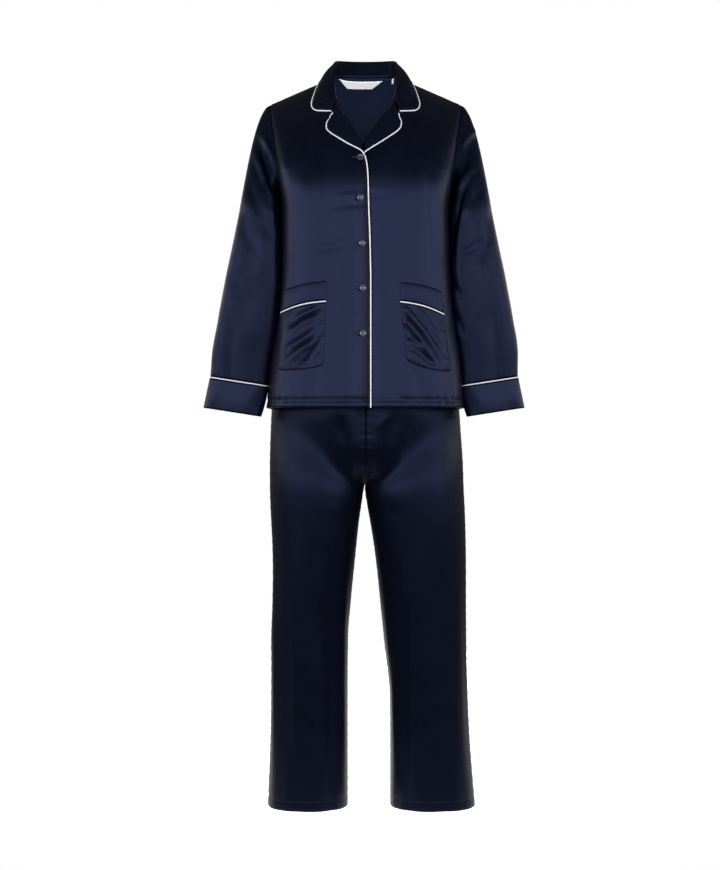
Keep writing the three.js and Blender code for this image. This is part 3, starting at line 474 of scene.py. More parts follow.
# the cloth's own soft waves: share, how many round the ring, start, and mm of height to a radian of drift
drapeWaves = ((1, 7, 0.8, 240), (0.6, 11, 2.1, -310), (0.35, 17, 0, 150))
ringStretch = 1.35  # evens out the angle round a ring, which is wider than deep
bodyWaves = {"tall": 1.5, "from": 260, "full": 600}  # down from the shoulders
legWaves = {"tall": 1.3, "from": 760, "full": 1200}


def drape(grid, tall):
    x, y, z = grid[..., 0], grid[..., 1], grid[..., 2]
    turn = np.arctan2(x, -y * ringStretch)
    waves = [share * np.sin(count * turn + start + z / drift) for share, count, start, drift in drapeWaves]
    return tall * sum(waves)


def onBody(x, z, side, lift, creases=bodyCreases):
    x, z = np.broadcast_arrays(np.asarray(x, float), np.asarray(z, float))
    slopeX = (depthAt(x + 1, z, side) - depthAt(x - 1, z, side)) / 2
    slopeZ = (depthAt(x, z + 1, side) - depthAt(x, z - 1, side)) / 2
    n = unit(stack(-side * slopeX, side, -side * slopeZ))
    p = stack(x, depthAt(x, z, side), z)
    own = creaseOffset(p, n, creases) + bodyDrape(p)
    return p + n * (lift + own)[..., None], n


def bodyDrape(p):
    return drape(p, bodyWaves["tall"] * ease(-p[..., 2], bodyWaves["from"], bodyWaves["full"]))


seam = {
    "pinch": 1.1,
    "reach": 4.5,
    "puckers": 0.32,
    "puckersAt": 6,  # mm in from the seam
    "puckersWide": 7,
    "spans": ((1, 19, 2, 31), (0.6, 11.3, 0, 1)),  # share, mm to the next pucker, a slow drift and its mm
}
hemline = {"amount": 0.7, "wide": 2.6, "puckers": 0.35, "puckersWide": 9, "span": 16, "drift": (1.7, 43)}


def pinched(grid, normals, sides, depth=seam["pinch"], reach=seam["reach"]):
    down, over = alongLengths(grid, 0), alongLengths(grid, 1)
    gaps = {"start": over, "end": over[:, -1:] - over, "low": down, "high": down[-1:] - down}
    runs = {"start": down, "end": down, "low": over, "high": over}
    offset = np.zeros(grid.shape[:-1])
    for side in sides:
        gap, run = gaps[side], runs[side]
        pucker = sum(share * np.sin(run * 2 * np.pi / span + drift * np.sin(run / slow))
            for share, span, drift, slow in seam["spans"])
        near = np.exp(-((gap - seam["puckersAt"]) / seam["puckersWide"]) ** 2)
        offset += seam["puckers"] * pucker * near - depth * np.exp(-(gap / reach) ** 2)
    return grid + normals * offset[..., None]


def hemmed(grid, normals, low, deep, amount=hemline["amount"]):
    down, over = alongLengths(grid, 0), alongLengths(grid, 1)
    gap = (down if low else down[-1:] - down) - deep
    drift, slow = hemline["drift"]
    pucker = np.sin(over * 2 * np.pi / hemline["span"] + drift * np.sin(over / slow))
    pucker *= hemline["puckers"] * np.exp(-(gap / hemline["puckersWide"]) ** 2)
    offset = amount * (pucker - np.exp(-(gap / hemline["wide"]) ** 2))
    return grid + normals * offset[..., None]


# Meshes
def newMesh(name, points, faces, edges=()):
    mesh = bpy.data.meshes.new(name)
    mesh.from_pydata((np.asarray(points) / 1000).tolist(), edges, faces)
    return mesh


def shell(name, grid, normals, thick, ring=False, finish=clothFinish, inside=dullFinish):
    # a closed cloth: its face, its back one thickness in, and the rims
    rows, columns = grid.shape[:2]
    inner = grid - normals * thick
    points = np.concatenate([grid.reshape(-1, 3), inner.reshape(-1, 3)])
    under = rows * columns
    reach = columns if ring else columns - 1
    i, j = [index.ravel() for index in np.meshgrid(np.arange(rows - 1), np.arange(reach), indexing="ij")]
    k = (j + 1) % columns
    a, b, c, d = i * columns + j, i * columns + k, (i + 1) * columns + k, (i + 1) * columns + j
    quads = [np.stack([a, b, c, d], 1), np.stack([d, c, b, a], 1) + under]
    j = np.arange(reach)
    k = (j + 1) % columns
    top = (rows - 1) * columns
    quads += [np.stack([k, j, j + under, k + under], 1),
        np.stack([j + top, k + top, k + top + under, j + top + under], 1)]
    if not ring:
        i = np.arange(rows - 1) * columns
        last = i + columns - 1
        quads += [np.stack([i, i + columns, i + columns + under, i + under], 1),
            np.stack([last + columns, last, last + under, last + columns + under], 1)]
    quads = np.concatenate(quads)
    middle = grid[rows // 2:rows // 2 + 2, columns // 2:columns // 2 + 2]
    facing = np.cross(middle[0, 1] - middle[0, 0], middle[1, 0] - middle[0, 0])
    if facing @ normals[rows // 2, columns // 2] < 0:
        quads = quads[:, ::-1]
    mesh = newMesh(name, points, quads.tolist())
    over, down = alongLengths(grid, 1), alongLengths(grid, 0)
    place = np.tile(np.stack([over, down], -1).reshape(-1, 2), (2, 1)) / 1000
    loops = np.empty(len(mesh.loops), int)
    mesh.loops.foreach_get("vertex_index", loops)
    layer = mesh.uv_layers.new(name="cut")
    layer.data.foreach_set("uv", place[loops].ravel())
    piece = asPiece(name, mesh, finish)
    if finish in (clothFinish, legFinish):
        mesh.materials.append(inside)
        side = np.zeros(len(mesh.polygons), int)
        side[(rows - 1) * reach:2 * (rows - 1) * reach] = 1
        mesh.polygons.foreach_set("material_index", side)
    return piece


def asPiece(name, mesh, finish):
    mesh.polygons.foreach_set("use_smooth", [True] * len(mesh.polygons))
    mesh.materials.append(finish)
    mesh.update()
    piece = bpy.data.objects.new(f"{name}_sewn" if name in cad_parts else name, mesh)
    bpy.context.scene.collection.objects.link(piece)
    return piece


def settle(piece, node=None):
    if node:
        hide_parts(node)
    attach(piece, "root")


def panel(name, node, grid, normals, thick=jacket["cloth"], ring=False, finish=clothFinish,
        inside=dullFinish):
    piece = shell(name, grid, normals, thick, ring, finish, inside)
    settle(piece, node)


def cordPiece(name, line, radius, closed=False, finish=cordFinish, sides=12, node=None):
    line = np.asarray(line, float)
    if closed:
        tangent = unit(np.roll(line, -1, 0) - np.roll(line, 1, 0))
    else:
        tangent = unit(np.gradient(line, axis=0))
    across = np.zeros_like(line)
    ray = unit(np.cross(tangent[0], [0.2, 1, 0.1]))
    for k, way in enumerate(tangent):
        ray = unit(ray - way * (ray @ way))
        across[k] = ray
    other = np.cross(tangent, across)
    turn = np.arange(sides) / sides * 2 * np.pi
    spokes = np.cos(turn)[None, :, None] * across[:, None] + np.sin(turn)[None, :, None] * other[:, None]
    points = (line[:, None] + radius * spokes).reshape(-1, 3)
    count = len(line)
    faces = []
    for k in range(count if closed else count - 1):
        for s in range(sides):
            t, m = (s + 1) % sides, (k + 1) % count
            faces.append((k * sides + s, m * sides + s, m * sides + t, k * sides + t))
    if not closed:
        caps = [line[0] - tangent[0] * radius * 0.5, line[-1] + tangent[-1] * radius * 0.5]
        first, last = len(points), (count - 1) * sides
        points = np.concatenate([points, caps])
        for s in range(sides):
            t = (s + 1) % sides
            faces += [(first, s, t), (first + 1, last + t, last + s)]
    mesh = newMesh(name, points, faces)
    a, b, c = [points[k] for k in faces[0][:3]]
    if np.cross(b - a, c - b) @ (a - line[0]) < 0:
        mesh.flip_normals()
    piece = asPiece(name, mesh, finish)
    settle(piece, node)
    return piece


def resampled(line, step):
    line = np.asarray(line, float)
    run = np.concatenate([[0], np.cumsum(np.linalg.norm(np.diff(line, axis=0), axis=1))])
    at = np.linspace(0, run[-1], max(2, int(run[-1] / step)))
    return np.stack([np.interp(at, run, line[:, k]) for k in range(3)], 1)


def beyondEdge(edge, inside, normals, thick):
    tangent = unit(np.gradient(edge, axis=0))
    out = unit(np.cross(tangent, normals))
    out *= np.sign((out * (edge - inside)).sum())
    return edge - normals * thick / 2 + out * jacket["pipingReach"]


# Stitches: a thread lies on the cloth along each row and dips under between two floats
stitches = {"hem": (2.8, 2.1), "edge": (2.2, 1.6), "fine": (1.8, 1.3)}  # mm to the next float, and its length
threadRadius = 0.28
stitchTree = bpy.data.node_groups.new("stitchRow", "GeometryNodeTree")
stitchInputs = {}
stitchSockets = {
    "Rows": "Geometry", "Pitch": "Float", "Length": "Float", "Thread": "Float", "Finish": "Material"}
for name, kind in stitchSockets.items():
    socket = stitchTree.interface.new_socket(name, in_out="INPUT", socket_type=f"NodeSocket{kind}")
    stitchInputs[name] = socket.identifier
stitchTree.interface.new_socket("Stitches", in_out="OUTPUT", socket_type="NodeSocketGeometry")
given = addNode(stitchTree, "NodeGroupInput")
path = addNode(stitchTree, "GeometryNodeMeshToCurve", {}, {"Mesh": given.outputs["Rows"]})
evenly = addNode(stitchTree, "GeometryNodeResampleCurve", {"mode": "LENGTH"}, {
    "Curve": path.outputs["Curve"], "Length": given.outputs["Pitch"]})
onTop = addNode(stitchTree, "GeometryNodeMeshUVSphere", {"Segments": 6, "Rings": 4, "Radius": 1})
way = addNode(stitchTree, "GeometryNodeInputTangent")
turned = addNode(stitchTree, "FunctionNodeAlignRotationToVector", {"axis": "Z"}, {
    "Vector": way.outputs["Tangent"]})
half = addNode(stitchTree, "ShaderNodeMath", {"operation": "DIVIDE", 1: 2}, {0: given.outputs["Length"]})
size = addNode(stitchTree, "ShaderNodeCombineXYZ", {}, {
    "X": given.outputs["Thread"], "Y": given.outputs["Thread"], "Z": half.outputs[0]})
laid = addNode(stitchTree, "GeometryNodeInstanceOnPoints", {}, {"Points": evenly.outputs["Curve"],
    "Instance": onTop.outputs["Mesh"], "Rotation": turned.outputs["Rotation"], "Scale": size.outputs["Vector"]})
real = addNode(stitchTree, "GeometryNodeRealizeInstances", {}, {"Geometry": laid.outputs["Instances"]})
dyed = addNode(stitchTree, "GeometryNodeSetMaterial", {}, {
    "Geometry": real.outputs["Geometry"], "Material": given.outputs["Finish"]})
addNode(stitchTree, "NodeGroupOutput", {}, {"Stitches": dyed.outputs["Geometry"]})


def rowBeside(grid, normals, side, gap, ring=False):
    # a line on the cloth, a given way in from one of its edges
    lengths = alongLengths(grid, 0 if side in ("low", "high") else 1)
    cloth = grid + normals * threadRadius / 2
    if side in ("start", "end"):
        cloth, lengths = cloth.swapaxes(0, 1), lengths.T
    if side in ("high", "end"):
        cloth, lengths = cloth[::-1], lengths[-1:] - lengths[::-1]
    line = [[np.interp(gap, lengths[:, k], cloth[:, k, axis]) for axis in range(3)]
        for k in range(cloth.shape[1])]
    return np.array(line + line[:1] if ring else line)


def sew(name, rows, kind, finish=threadFinish):
    points, edges = [], []
    for row in rows:
        first = len(points)
        points += row.tolist()
        edges += [(k, k + 1) for k in range(first, len(points) - 1)]
    stitching = bpy.data.objects.new(name, newMesh(name, points, [], edges))
    bpy.context.scene.collection.objects.link(stitching)
    modifier = stitching.modifiers.new("stitches", "NODES")
    modifier.node_group = stitchTree
    pitch, length = stitches[kind]
    sizes = {"Pitch": pitch / 1000, "Length": length / 1000, "Thread": threadRadius / 1000, "Finish": finish}
    for key, value in sizes.items():
        modifier[stitchInputs[key]] = value
    sewn = bpy.data.meshes.new_from_object(stitching.evaluated_get(bpy.context.evaluated_depsgraph_get()))
    stitching.modifiers.remove(modifier)
    stitching.data = sewn
    sewn.materials.clear()
    sewn.materials.append(finish)
    sewn.polygons.foreach_set("use_smooth", [True] * len(sewn.polygons))
    settle(stitching)


# Fronts and back
lowLevels = np.linspace(jacket["hem"], jacket["underarm"], 99)[:-1]
upLevels = 1 - (1 - np.linspace(0, 1, 74)) ** 1.25
levels = np.concatenate([lowLevels, upLevels])
nearUnderarm = slice(len(lowLevels) - 16, len(lowLevels) + 26)


def frontGrid(right):
    edge = rightFrontEdge if right else leftFrontEdge
    reach, half = bodyShape(levels, -1)[2:]
    inner = np.full(len(levels), -jacket["neckX"], float)
    for closer in range(14):
        inner = curveAt(edge, "x", heightAt(levels, -1, np.abs(inner)))
    share = np.linspace(0, 1, 54)
    angle = mix(angleOf(-inner, half)[:, None], angleOf(reach, half)[:, None], share)
    x = widthOf(angle, half[:, None]) * (-1 if right else 1)
    grid = bodyPoint(levels[:, None], -1, x)
    smoothed(grid[nearUnderarm], jacket["smoothing"])
    n = normalsOf(grid, stack(grid[..., 0], grid[..., 1], 0))
    lift = creaseOffset(grid, n, bodyCreases) + bodyDrape(grid) + overlapAt(grid[..., 0], grid[..., 2], right)
    grid = grid + n * lift[..., None]
    return grid, normalsOf(grid, n)


def backGrid():
    reach, half = [float(size) for size in bodyShape(np.array(1.0), 1)[2:]]
    column = np.linspace(-11, 11, 111)
    away = np.abs(column)
    neck = np.interp(away, [0, 1, 2, 3, 4], [0, 20, 38, 53, jacket["neckX"]])
    first, last = angleOf(jacket["neckX"], half), angleOf(reach, half)
    angle = np.where(away < 4, angleOf(neck, half), mix(first, last, (away - 4) / 7))
    dip = np.where(away < 4, 1 - (neck / jacket["neckX"]) ** 2.2, 0)
    level = levels[:, None]
    own = np.where(level > 0, level * (1 - jacket["neckDip"] * dip), level)
    reaches, halves = bodyShape(own, 1)[2:]
    share = mix(away / 11, angle / last, ease(level, 0, 1))
    grid = bodyPoint(own, 1, np.sign(column) * widthOf(share * angleOf(reaches, halves), halves))
    smoothed(grid[nearUnderarm], jacket["smoothing"])
    n = normalsOf(grid, stack(grid[..., 0], grid[..., 1], 0))
    grid = grid + n * (creaseOffset(grid, n, bodyCreases) + bodyDrape(grid))[..., None]
    return grid, normalsOf(grid, n), column


def bodyHem(grid, n, sides):
    pinchedGrid = pinched(grid, n, sides, jacket["seamPinch"])
    shaped = hemmed(pinchedGrid, n, True, jacket["hemDeep"], jacket["hemAmount"])
    facing = normalsOf(shaped, n)
    return shaped, facing, rowBeside(shaped, facing, "low", jacket["hemDeep"])


fronts, hemRows = {}, []
for name, right in (("right", True), ("left", False)):
    fronts[name] = frontGrid(right)
    shaped, facing, hemRow = bodyHem(*fronts[name], ["start", "end"] if right else ["end"])
    panel(f"front_{name}", f"jacket_front_{name}", shaped, facing)
    hemRows.append(hemRow)
    if right:
        row = rowBeside(shaped, facing, "start", jacket["edgeStitch"])
        sew("front_edge_stitches", [row[row[:, 2] < jacket["lapelFoot"]]], "edge")
back, backNormals, backColumns = backGrid()
shaped, facing, hemRow = bodyHem(back, backNormals, ["start", "end"])
sew("jacket_hem_stitches", [*hemRows, hemRow], "hem")
panel("back", "jacket_back", shaped, facing)
print("jacket body made")

# Sleeves
sleeve = {
    "tilt": math.radians(8.8),
    "round": 0.58,  # 1 is an ellipse, less is squarer
    "biceps": -262,
    "seam": -582.6,
    "hem": -641,
    "drift": 6,  # the left arm hangs this much nearer at the cuff
    "springLow": 14,  # how straight the cloth leaves the armhole, at the underarm and at the shoulder
    "springHigh": 92,
    "inward": 2.8,  # the inner side is fuller by this
    "cuffEase": 0.6,
}
sleeveRings = table("z x y half depth",
    (-262, -201.7, -24, 42, 64), (-330, -208.2, -31, 49, 56), (-400, -215.9, -37, 55.6, 47),
    (-470, -225.7, -41, 58.3, 39), (-530, -236.9, -44, 58, 31), (-582, -242.6, -46, 56.4, 25),
    (-641, -255.7, -48, 55.3, 22))
sleeveCreases = {
    "right": [
        (-1, 8, -6.0, [(-208, -112), (-191, -160), (-180, -192), (-170, -223), (-162, -236)]),
        (-1, 6, 4.4, [(-208, -94), (-189, -127), (-170, -160)]),
        (-1, 6, 4.8, [(-220, -120), (-197, -180), (-172, -250)]),
        (-1, 6, -3.0, [(-218, -156), (-203, -195), (-194, -226)]),
        (-1, 7, -3.0, [(-224, -204), (-208, -248), (-197, -276)]),
        (-1, 5, -2.0, [(-186, -150), (-176, -168), (-168, -186)]),
        (-1, 6, -2.6, [(-172, -244), (-163, -262), (-162, -290)]),
        (-1, 10, -3.0, [(-236, -236), (-228, -300), (-206, -352)]),
        (-1, 8, 2.4, [(-200, -290), (-194, -340), (-204, -402)]),
        (-1, 12, -3.0, [(-252, -360), (-238, -410), (-210, -446)]),
        (-1, 9, -2.4, [(-262, -430), (-256, -500), (-264, -640)]),
        (-1, 10, 2.4, [(-228, -440), (-236, -500), (-230, -650)]),
        (-1, 8, -2.2, [(-206, -486), (-214, -530), (-214, -650)]),
        (1, 10, -4.5, [(-214, -110), (-196, -170), (-172, -232)]),
        (1, 10, -3.5, [(-236, -220), (-214, -280), (-184, -330)]),
        (1, 11, -3.2, [(-250, -340), (-230, -400), (-200, -440)]),
        (1, 9, -2.6, [(-262, -450), (-240, -500), (-226, -566)]),
    ],
    "left": [
        (-1, 7, 4.2, [(216, -84), (199, -108), (180, -132)]),
        (-1, 8, 5.0, [(226, -158), (196, -184), (176, -214), (166, -270)]),
        (-1, 8, -5.5, [(206, -192), (186, -216), (172, -260), (161, -320), (157, -380)]),
        (-1, 7, 4.2, [(230, -168), (204, -204), (186, -246), (176, -310)]),
        (-1, 6, -3.0, [(226, -206), (208, -236), (198, -280)]),
        (-1, 7, -2.2, [(226, -310), (206, -328), (178, -344)]),
        (-1, 7, -3.0, [(158, -374), (171, -407), (188, -430)]),
        (-1, 7, -2.4, [(162, -440), (178, -470), (190, -502)]),
        (-1, 10, -2.8, [(238, -240), (232, -310), (212, -368)]),
        (-1, 10, 2.6, [(214, -340), (222, -400), (216, -470)]),
        (-1, 9, -2.6, [(256, -400), (244, -460), (254, -640)]),
        (-1, 9, 2.2, [(222, -470), (234, -520), (230, -650)]),
        (1, 10, -4.5, [(212, -112), (194, -168), (172, -236)]),
        (1, 10, -3.2, [(234, -210), (212, -276), (186, -322)]),
        (1, 11, -3.4, [(248, -330), (226, -396), (204, -452)]),
        (1, 9, -2.4, [(258, -440), (242, -506), (224, -560)]),
    ],
}


def sleevePoint(z, sign, angle, grow=0.0):
    lean = -sleeve["drift"] * ease(-z, 490, 600) if sign > 0 else 0
    half, depth = curveAt(sleeveRings, "half", z) + grow, curveAt(sleeveRings, "depth", z) + grow
    half = half + sleeve["inward"] * (np.cos(angle) > 0) * ease(-z, 240, 300) * (1 - ease(-z, 500, 570))
    across = half * np.sign(np.cos(angle)) * np.abs(np.cos(angle)) ** sleeve["round"]
    x = -curveAt(sleeveRings, "x", z) + lean - across * math.cos(sleeve["tilt"])
    y = curveAt(sleeveRings, "y", z) - depth * np.sign(np.sin(angle)) * np.abs(np.sin(angle)) ** sleeve["round"]
    return stack(sign * x, y, z - across * math.sin(sleeve["tilt"]))


def armholeLine(sign):
    # up the front of the armhole and down its back
    rise = np.linspace(0, 1, 62) ** 0.9
    level = np.concatenate([rise, rise[-2:0:-1]])
    front = bodyPoint(rise, -1, sign * bodyShape(rise, -1)[2])
    rear = bodyPoint(rise[-2:0:-1], 1, sign * bodyShape(rise[-2:0:-1], 1)[2])
    line = np.concatenate([front, rear])
    run = np.concatenate([[0], np.cumsum(np.linalg.norm(np.diff(line, axis=0), axis=1))])
    whole = run[-1] + np.linalg.norm(line[-1] - line[0])
    top = run[len(rise) - 1]
    angle = np.pi * np.where(run <= top, run / top, 1 + (run - top) / (whole - top))
    return line, level, angle


def sleeveGrid(name, sign):
    line, level, angle = armholeLine(sign)
    s = np.linspace(0, 1, 46)[:-1, None, None]
    end = sleevePoint(sleeve["biceps"], sign, angle)
    # the cap leaves the seam steeply at the underarm and sideways at the shoulder
    leave = unit(stack(sign * (0.45 + 0.47 * level), 0, -(1 - 0.6 * level)))
    arrive = np.array([sign * math.sin(sleeve["tilt"]), 0, -math.cos(sleeve["tilt"])])
    reach = np.linalg.norm(line - end, axis=-1)[:, None]
    spring = mix(sleeve["springLow"], sleeve["springHigh"], level)[:, None]
    cap = line * (1 + 2 * s) * (1 - s) ** 2 + leave * spring * s * (1 - s) ** 2
    cap = cap + end * s * s * (3 - 2 * s) - arrive * reach * s * s * (1 - s)
    z = np.linspace(sleeve["biceps"], sleeve["seam"] + 1.6, 80)[:, None]
    grid = np.concatenate([cap, sleevePoint(z, sign, angle[None, :])])
    z = grid[..., 2]
    middle = stack(sign * -curveAt(sleeveRings, "x", z), curveAt(sleeveRings, "y", z), z)
    n = normalsOf(grid, grid - middle, True)
    free = ease(alongLengths(grid, 0), 0, 26)
    folds = creaseOffset(grid, n, sleeveCreases[name]) * free + creaseOffset(grid, n, armholeCreases)
    grid = grid + n * folds[..., None]
    return grid, normalsOf(grid, n, True)


for name, sign in (("right", -1), ("left", 1)):
    around = armholeLine(sign)[2]
    grid, n = sleeveGrid(name, sign)
    shaped = pinched(grid, n, ["low", "high"], jacket["seamPinch"], 4)
    n = normalsOf(shaped, n, True)
    panel(f"sleeve_{name}", f"sleeve_{name}", shaped, n, ring=True)
    z = np.linspace(sleeve["seam"] - 1.4, sleeve["hem"], 18)[:, None]
    grid = sleevePoint(z, sign, around[None, :], sleeve["cuffEase"])
    n = normalsOf(grid, grid - grid.mean(axis=1, keepdims=True), True)
    share, turn = np.linspace(0, 1, 18)[:, None], around[None, :]  # the cuff puffs out and waves a little
    puff = 0.9 * np.sin(np.pi * share) + 0.7 * np.sin(3 * turn + 4 * share) * share
    puff = puff + 0.4 * np.sin(7 * turn - 3 * share)
    grid = grid + n * puff[..., None]
    n = normalsOf(grid, n, True)
    panel(f"cuff_{name}", f"cuff_{name}", grid, n, ring=True)
    sew(f"cuff_stitches_{name}", [rowBeside(grid, n, "low", jacket["edgeStitch"], True)], "edge")
    ring = sleevePoint(np.array(sleeve["seam"]), sign, around, 0.3 - jacket["cloth"] / 2)
    cordPiece(f"cuff_piping_{name}", ring, jacket["pipingRadius"], True, node=f"cuff_piping_{name}")
print("sleeves made")

# Collar and lapels
collar = {
    "spring": 3,  # how far the fall bows out
    "foldRadius": 2.2,
    "footFrom": (1.2, 2.4, -3.2),  # from the roll line to the seam, at the front
    "smoothing": 12,
    "edgeSmoothing": 4,
    "footSmoothing": 2,
}
# k counts from the middle of the back: 4 is the side neck point, 8 the end of the neck seam, 11 the collar's end
collarRows = table("k rollX rollY rollZ edgeX edgeY edgeZ",
    (0, 0, 48, 53, 0, 70, 6), (1, -22, 47, 53, -31, 67, 6), (2, -41, 41, 52.5, -59, 56, 6),
    (3, -53, 28, 50, -79, 33, 5), (4, -57, 8, 42, -88, 2, 5.5), (5, -60, -11, 23, -95, -17, -13.5),
    (6, -61, -27, 3, -99.5, -31, -33), (7, -60.5, -42, -18, -102.3, -41, -51.5),
    (8, -58, -55, -36, -98.5, -47, -66.5), (9, -57.6, -56.5, -38, -90, -53, -71.5),
    (10, -57.2, -58, -40, -78, -58, -71.5), (11, -56.8, -59.5, -42, -64.5, -63, -71))


def clearOf(p, lift):
    # points moved out until they clear the jacket by the lift
    out = p.copy()
    for side in (-1, 1):
        here = (p[:, 1] < 0) == (side < 0)
        if here.any():
            q = p[here]
            ridge = heightAt(np.array(1.0), side, np.abs(q[:, 0]))
            near, n = onBody(q[:, 0], np.minimum(q[:, 2], ridge - 1), side, 0)
            gap = ((q - near) * n).sum(axis=1)
            out[here] = q + n * np.maximum(0, lift - gap)[:, None]
    return out


def collarGrid():
    t = np.linspace(-11, 11, 221)
    k, sign = np.abs(t), np.where(t < 0, -1.0, 1.0)
    roll, edge = [stack(-sign * curveAt(collarRows, line + "X", k), curveAt(collarRows, line + "Y", k),
        curveAt(collarRows, line + "Z", k)) for line in ("roll", "edge")]
    line = smoothed(clearOf(edge, jacket["pipingRadius"] + jacket["layGap"]), collar["edgeSmoothing"])
    aside, behind, below = collar["footFrom"]
    foot = roll + stack(-sign * aside, behind, below)
    for axis in range(3):
        onBack = k <= 4
        foot[onBack, axis] = np.interp(t[onBack], backColumns, back[-1, :, axis])
        for name, own in (("right", t < -4), ("left", t > 4)):
            level = np.interp(k[own], [4, 5, 6, 7, 8], [1, 0.96, 0.91, 0.85, 0.79])
            seam = np.interp(level, upLevels, fronts[name][0][len(lowLevels):, 0, axis])
            foot[own, axis] = mix(seam, foot[own, axis], ease(k[own], 8, 9))
    foot = smoothed(foot, collar["footSmoothing"])
    up = unit(roll - foot)
    out = line - foot
    out = unit(out - up * (out * up).sum(axis=1, keepdims=True))
    tall = np.linalg.norm(roll - foot, axis=1, keepdims=True)
    radius = collar["foldRadius"]
    columns, faces = [], []
    for s in np.linspace(0, 0.85, 6):  # the stand
        columns.append(foot + up * (tall - radius) * s)
        faces.append(out)
    for turn in np.radians(np.linspace(0, 180, 9)):  # over the fold
        c, s = math.cos(turn), math.sin(turn)
        columns.append(foot + out * radius * (1 - c) + up * (tall - radius + radius * s))
        faces.append(out * c - up * s)
    start = columns[-1]
    fall = line - start
    along = unit(np.gradient(line, axis=0))
    way = unit(fall)
    square = np.sqrt(1 - (way * along).sum(axis=1, keepdims=True) ** 2)
    under = unit(np.cross(along, way))
    under *= -np.sign((under * out).sum(axis=1, keepdims=True))
    reach = np.linalg.norm(fall, axis=1, keepdims=True)
    fall = way * (reach - jacket["pipingReach"] / np.maximum(0.4, square))
    reach = np.linalg.norm(fall, axis=1, keepdims=True)
    for s in np.linspace(0.08, 1, 13):  # down the fall
        n = unit(mix(-out, under, ease(s, 0, 0.3)))
        bow = collar["spring"] * math.sin(math.pi * s) * np.minimum(1, reach / 40)
        columns.append(start + fall * s + n * (s * jacket["cloth"] / 2 - bow))
        faces.append(n)
    return np.stack(columns, 1), np.stack(faces, 1), line


grid, n, collarLine = collarGrid()
grid = smoothed(grid, collar["smoothing"])
panel("collar", "collar", grid, normalsOf(grid, n), inside=clothFinish)
collarLine = resampled(collarLine, jacket["cordStep"])
cordPiece("collar_piping", collarLine, jacket["pipingRadius"], node="collar_piping")

lapel = {"rollShare": 0.12, "rollLeast": 0.02, "bow": 1.4}
lapelRows = {
    "right": table("k rollX rollZ edgeX edgeZ",
        (0, -56.3, -45, -64, -73), (1, -51.5, -53, -66.8, -81), (2, -46, -63, -71.8, -90.5),
        (3, -40, -75.5, -73.3, -101), (4, -33.5, -89, -67, -110.5), (5, -27, -102, -55, -120.5),
        (6, -20.5, -115, -40, -131), (7, -14.5, -127, -23, -141), (8, -8.5, -138.5, -6.5, -149.5)),
    "left": table("k rollX rollZ edgeX edgeZ",
        (0, 54, -47, 61, -73), (1, 49, -53, 63, -81), (2, 42.5, -63, 66.2, -90),
        (3, 35, -75.5, 65, -99.5), (4, 27, -88.5, 58.5, -108.5), (5, 19, -101.5, 46, -118),
        (6, 11, -114, 32, -128), (7, 4, -125, 17, -138), (8, -2.2, -135.5, 3, -147.5)),
}
for name, right in (("right", True), ("left", False)):
    rows = lapelRows[name]
    k, s = np.linspace(0, 8, 49)[:, None], np.linspace(0, 1, 22)[None, :]
    x = mix(curveAt(rows, "rollX", k), curveAt(rows, "edgeX", k), s)
    z = mix(curveAt(rows, "rollZ", k), curveAt(rows, "edgeZ", k), s)
    roll = np.sqrt(np.clip(s / lapel["rollShare"], lapel["rollLeast"], 1))
    bow = lapel["bow"] * np.sin(np.pi * s) * np.sin(np.pi * k / 8)
    lift = (jacket["layGap"] + jacket["lapelCloth"]) * roll + bow
    grid, n = onBody(x, z, -1, lift + overlapAt(x, z, right))
    n = normalsOf(grid, n)
    panel(f"lapel_{name}", f"lapel_{name}", grid, n, jacket["lapelCloth"])
    line = beyondEdge(grid[:, -1], grid[:, -2], n[:, -1], jacket["lapelCloth"])
    line = clearOf(line, jacket["pipingRadius"] + jacket["layGap"])
    if not right:  # the left piping runs on under the right front
        x, z, lift = np.array([0.5, -3.5, -7.5]), np.array([-151, -154.5, -157.5]), np.array([1.6, 1.2, 0.4])
        line = np.concatenate([line, onBody(x, z, -1, lift)[0]])
    else:  # the right one goes down its front edge
        front, frontNormals = fronts["right"]
        low = front[:, 0, 2] < -160
        edge = beyondEdge(front[low, 0], front[low, 1], frontNormals[low, 0], jacket["cloth"])
        line = np.concatenate([line, edge[::-1]])
    line = smoothed(resampled(line, jacket["cordStep"]), 3)
    cordPiece(f"front_piping_{name}", line, jacket["pipingRadius"], node=f"front_piping_{name}")
print("collar and lapels made")

# Pockets
pockets = {
    "right": {
        "top": (-74, -396, -153, -411, 3),
        "seam": (-75, -434, -160, -453, 4),
        "bottom": (-80, -555, -167, -563, -3),
        "creases": [
            (-1, 7, -2.6, [(-146, -486), (-124, -462), (-98, -450), (-78, -436)]),
            (-1, 6, 1.6, [(-150, -500), (-122, -476), (-84, -460)]),
            (-1, 8, -3.2, [(-162, -552), (-141, -520), (-112, -502), (-86, -480)]),
            (-1, 7, 2.0, [(-148, -552), (-122, -524), (-92, -506)]),
            (-1, 6, -2.8, [(-126, -566), (-104, -540), (-88, -514), (-80, -496)]),
            (-1, 5, -2.0, [(-110, -566), (-92, -540), (-80, -524)]),
        ],
    },
    "left": {
        "top": (66.5, -398, 143, -414, 3),
        "seam": (65, -435, 147, -457, 4),
        "bottom": (76, -546, 163, -566, -5),
        "creases": [
            (-1, 7, -4.2, [(62, -436), (88, -464), (112, -492), (130, -520), (146, -560)]),
            (-1, 6, 2.2, [(66, -456), (88, -482), (108, -512), (124, -548)]),
            (-1, 6, -2.4, [(84, -436), (108, -462), (130, -492), (144, -520)]),
            (-1, 6, -2.2, [(66, -478), (86, -502), (110, -520)]),
            (-1, 6, -2.2, [(76, -512), (98, -528), (120, -546), (140, -560)]),
            (-1, 8, 1.4, [(140, -470), (146, -510), (156, -560)]),
        ],
    },
}


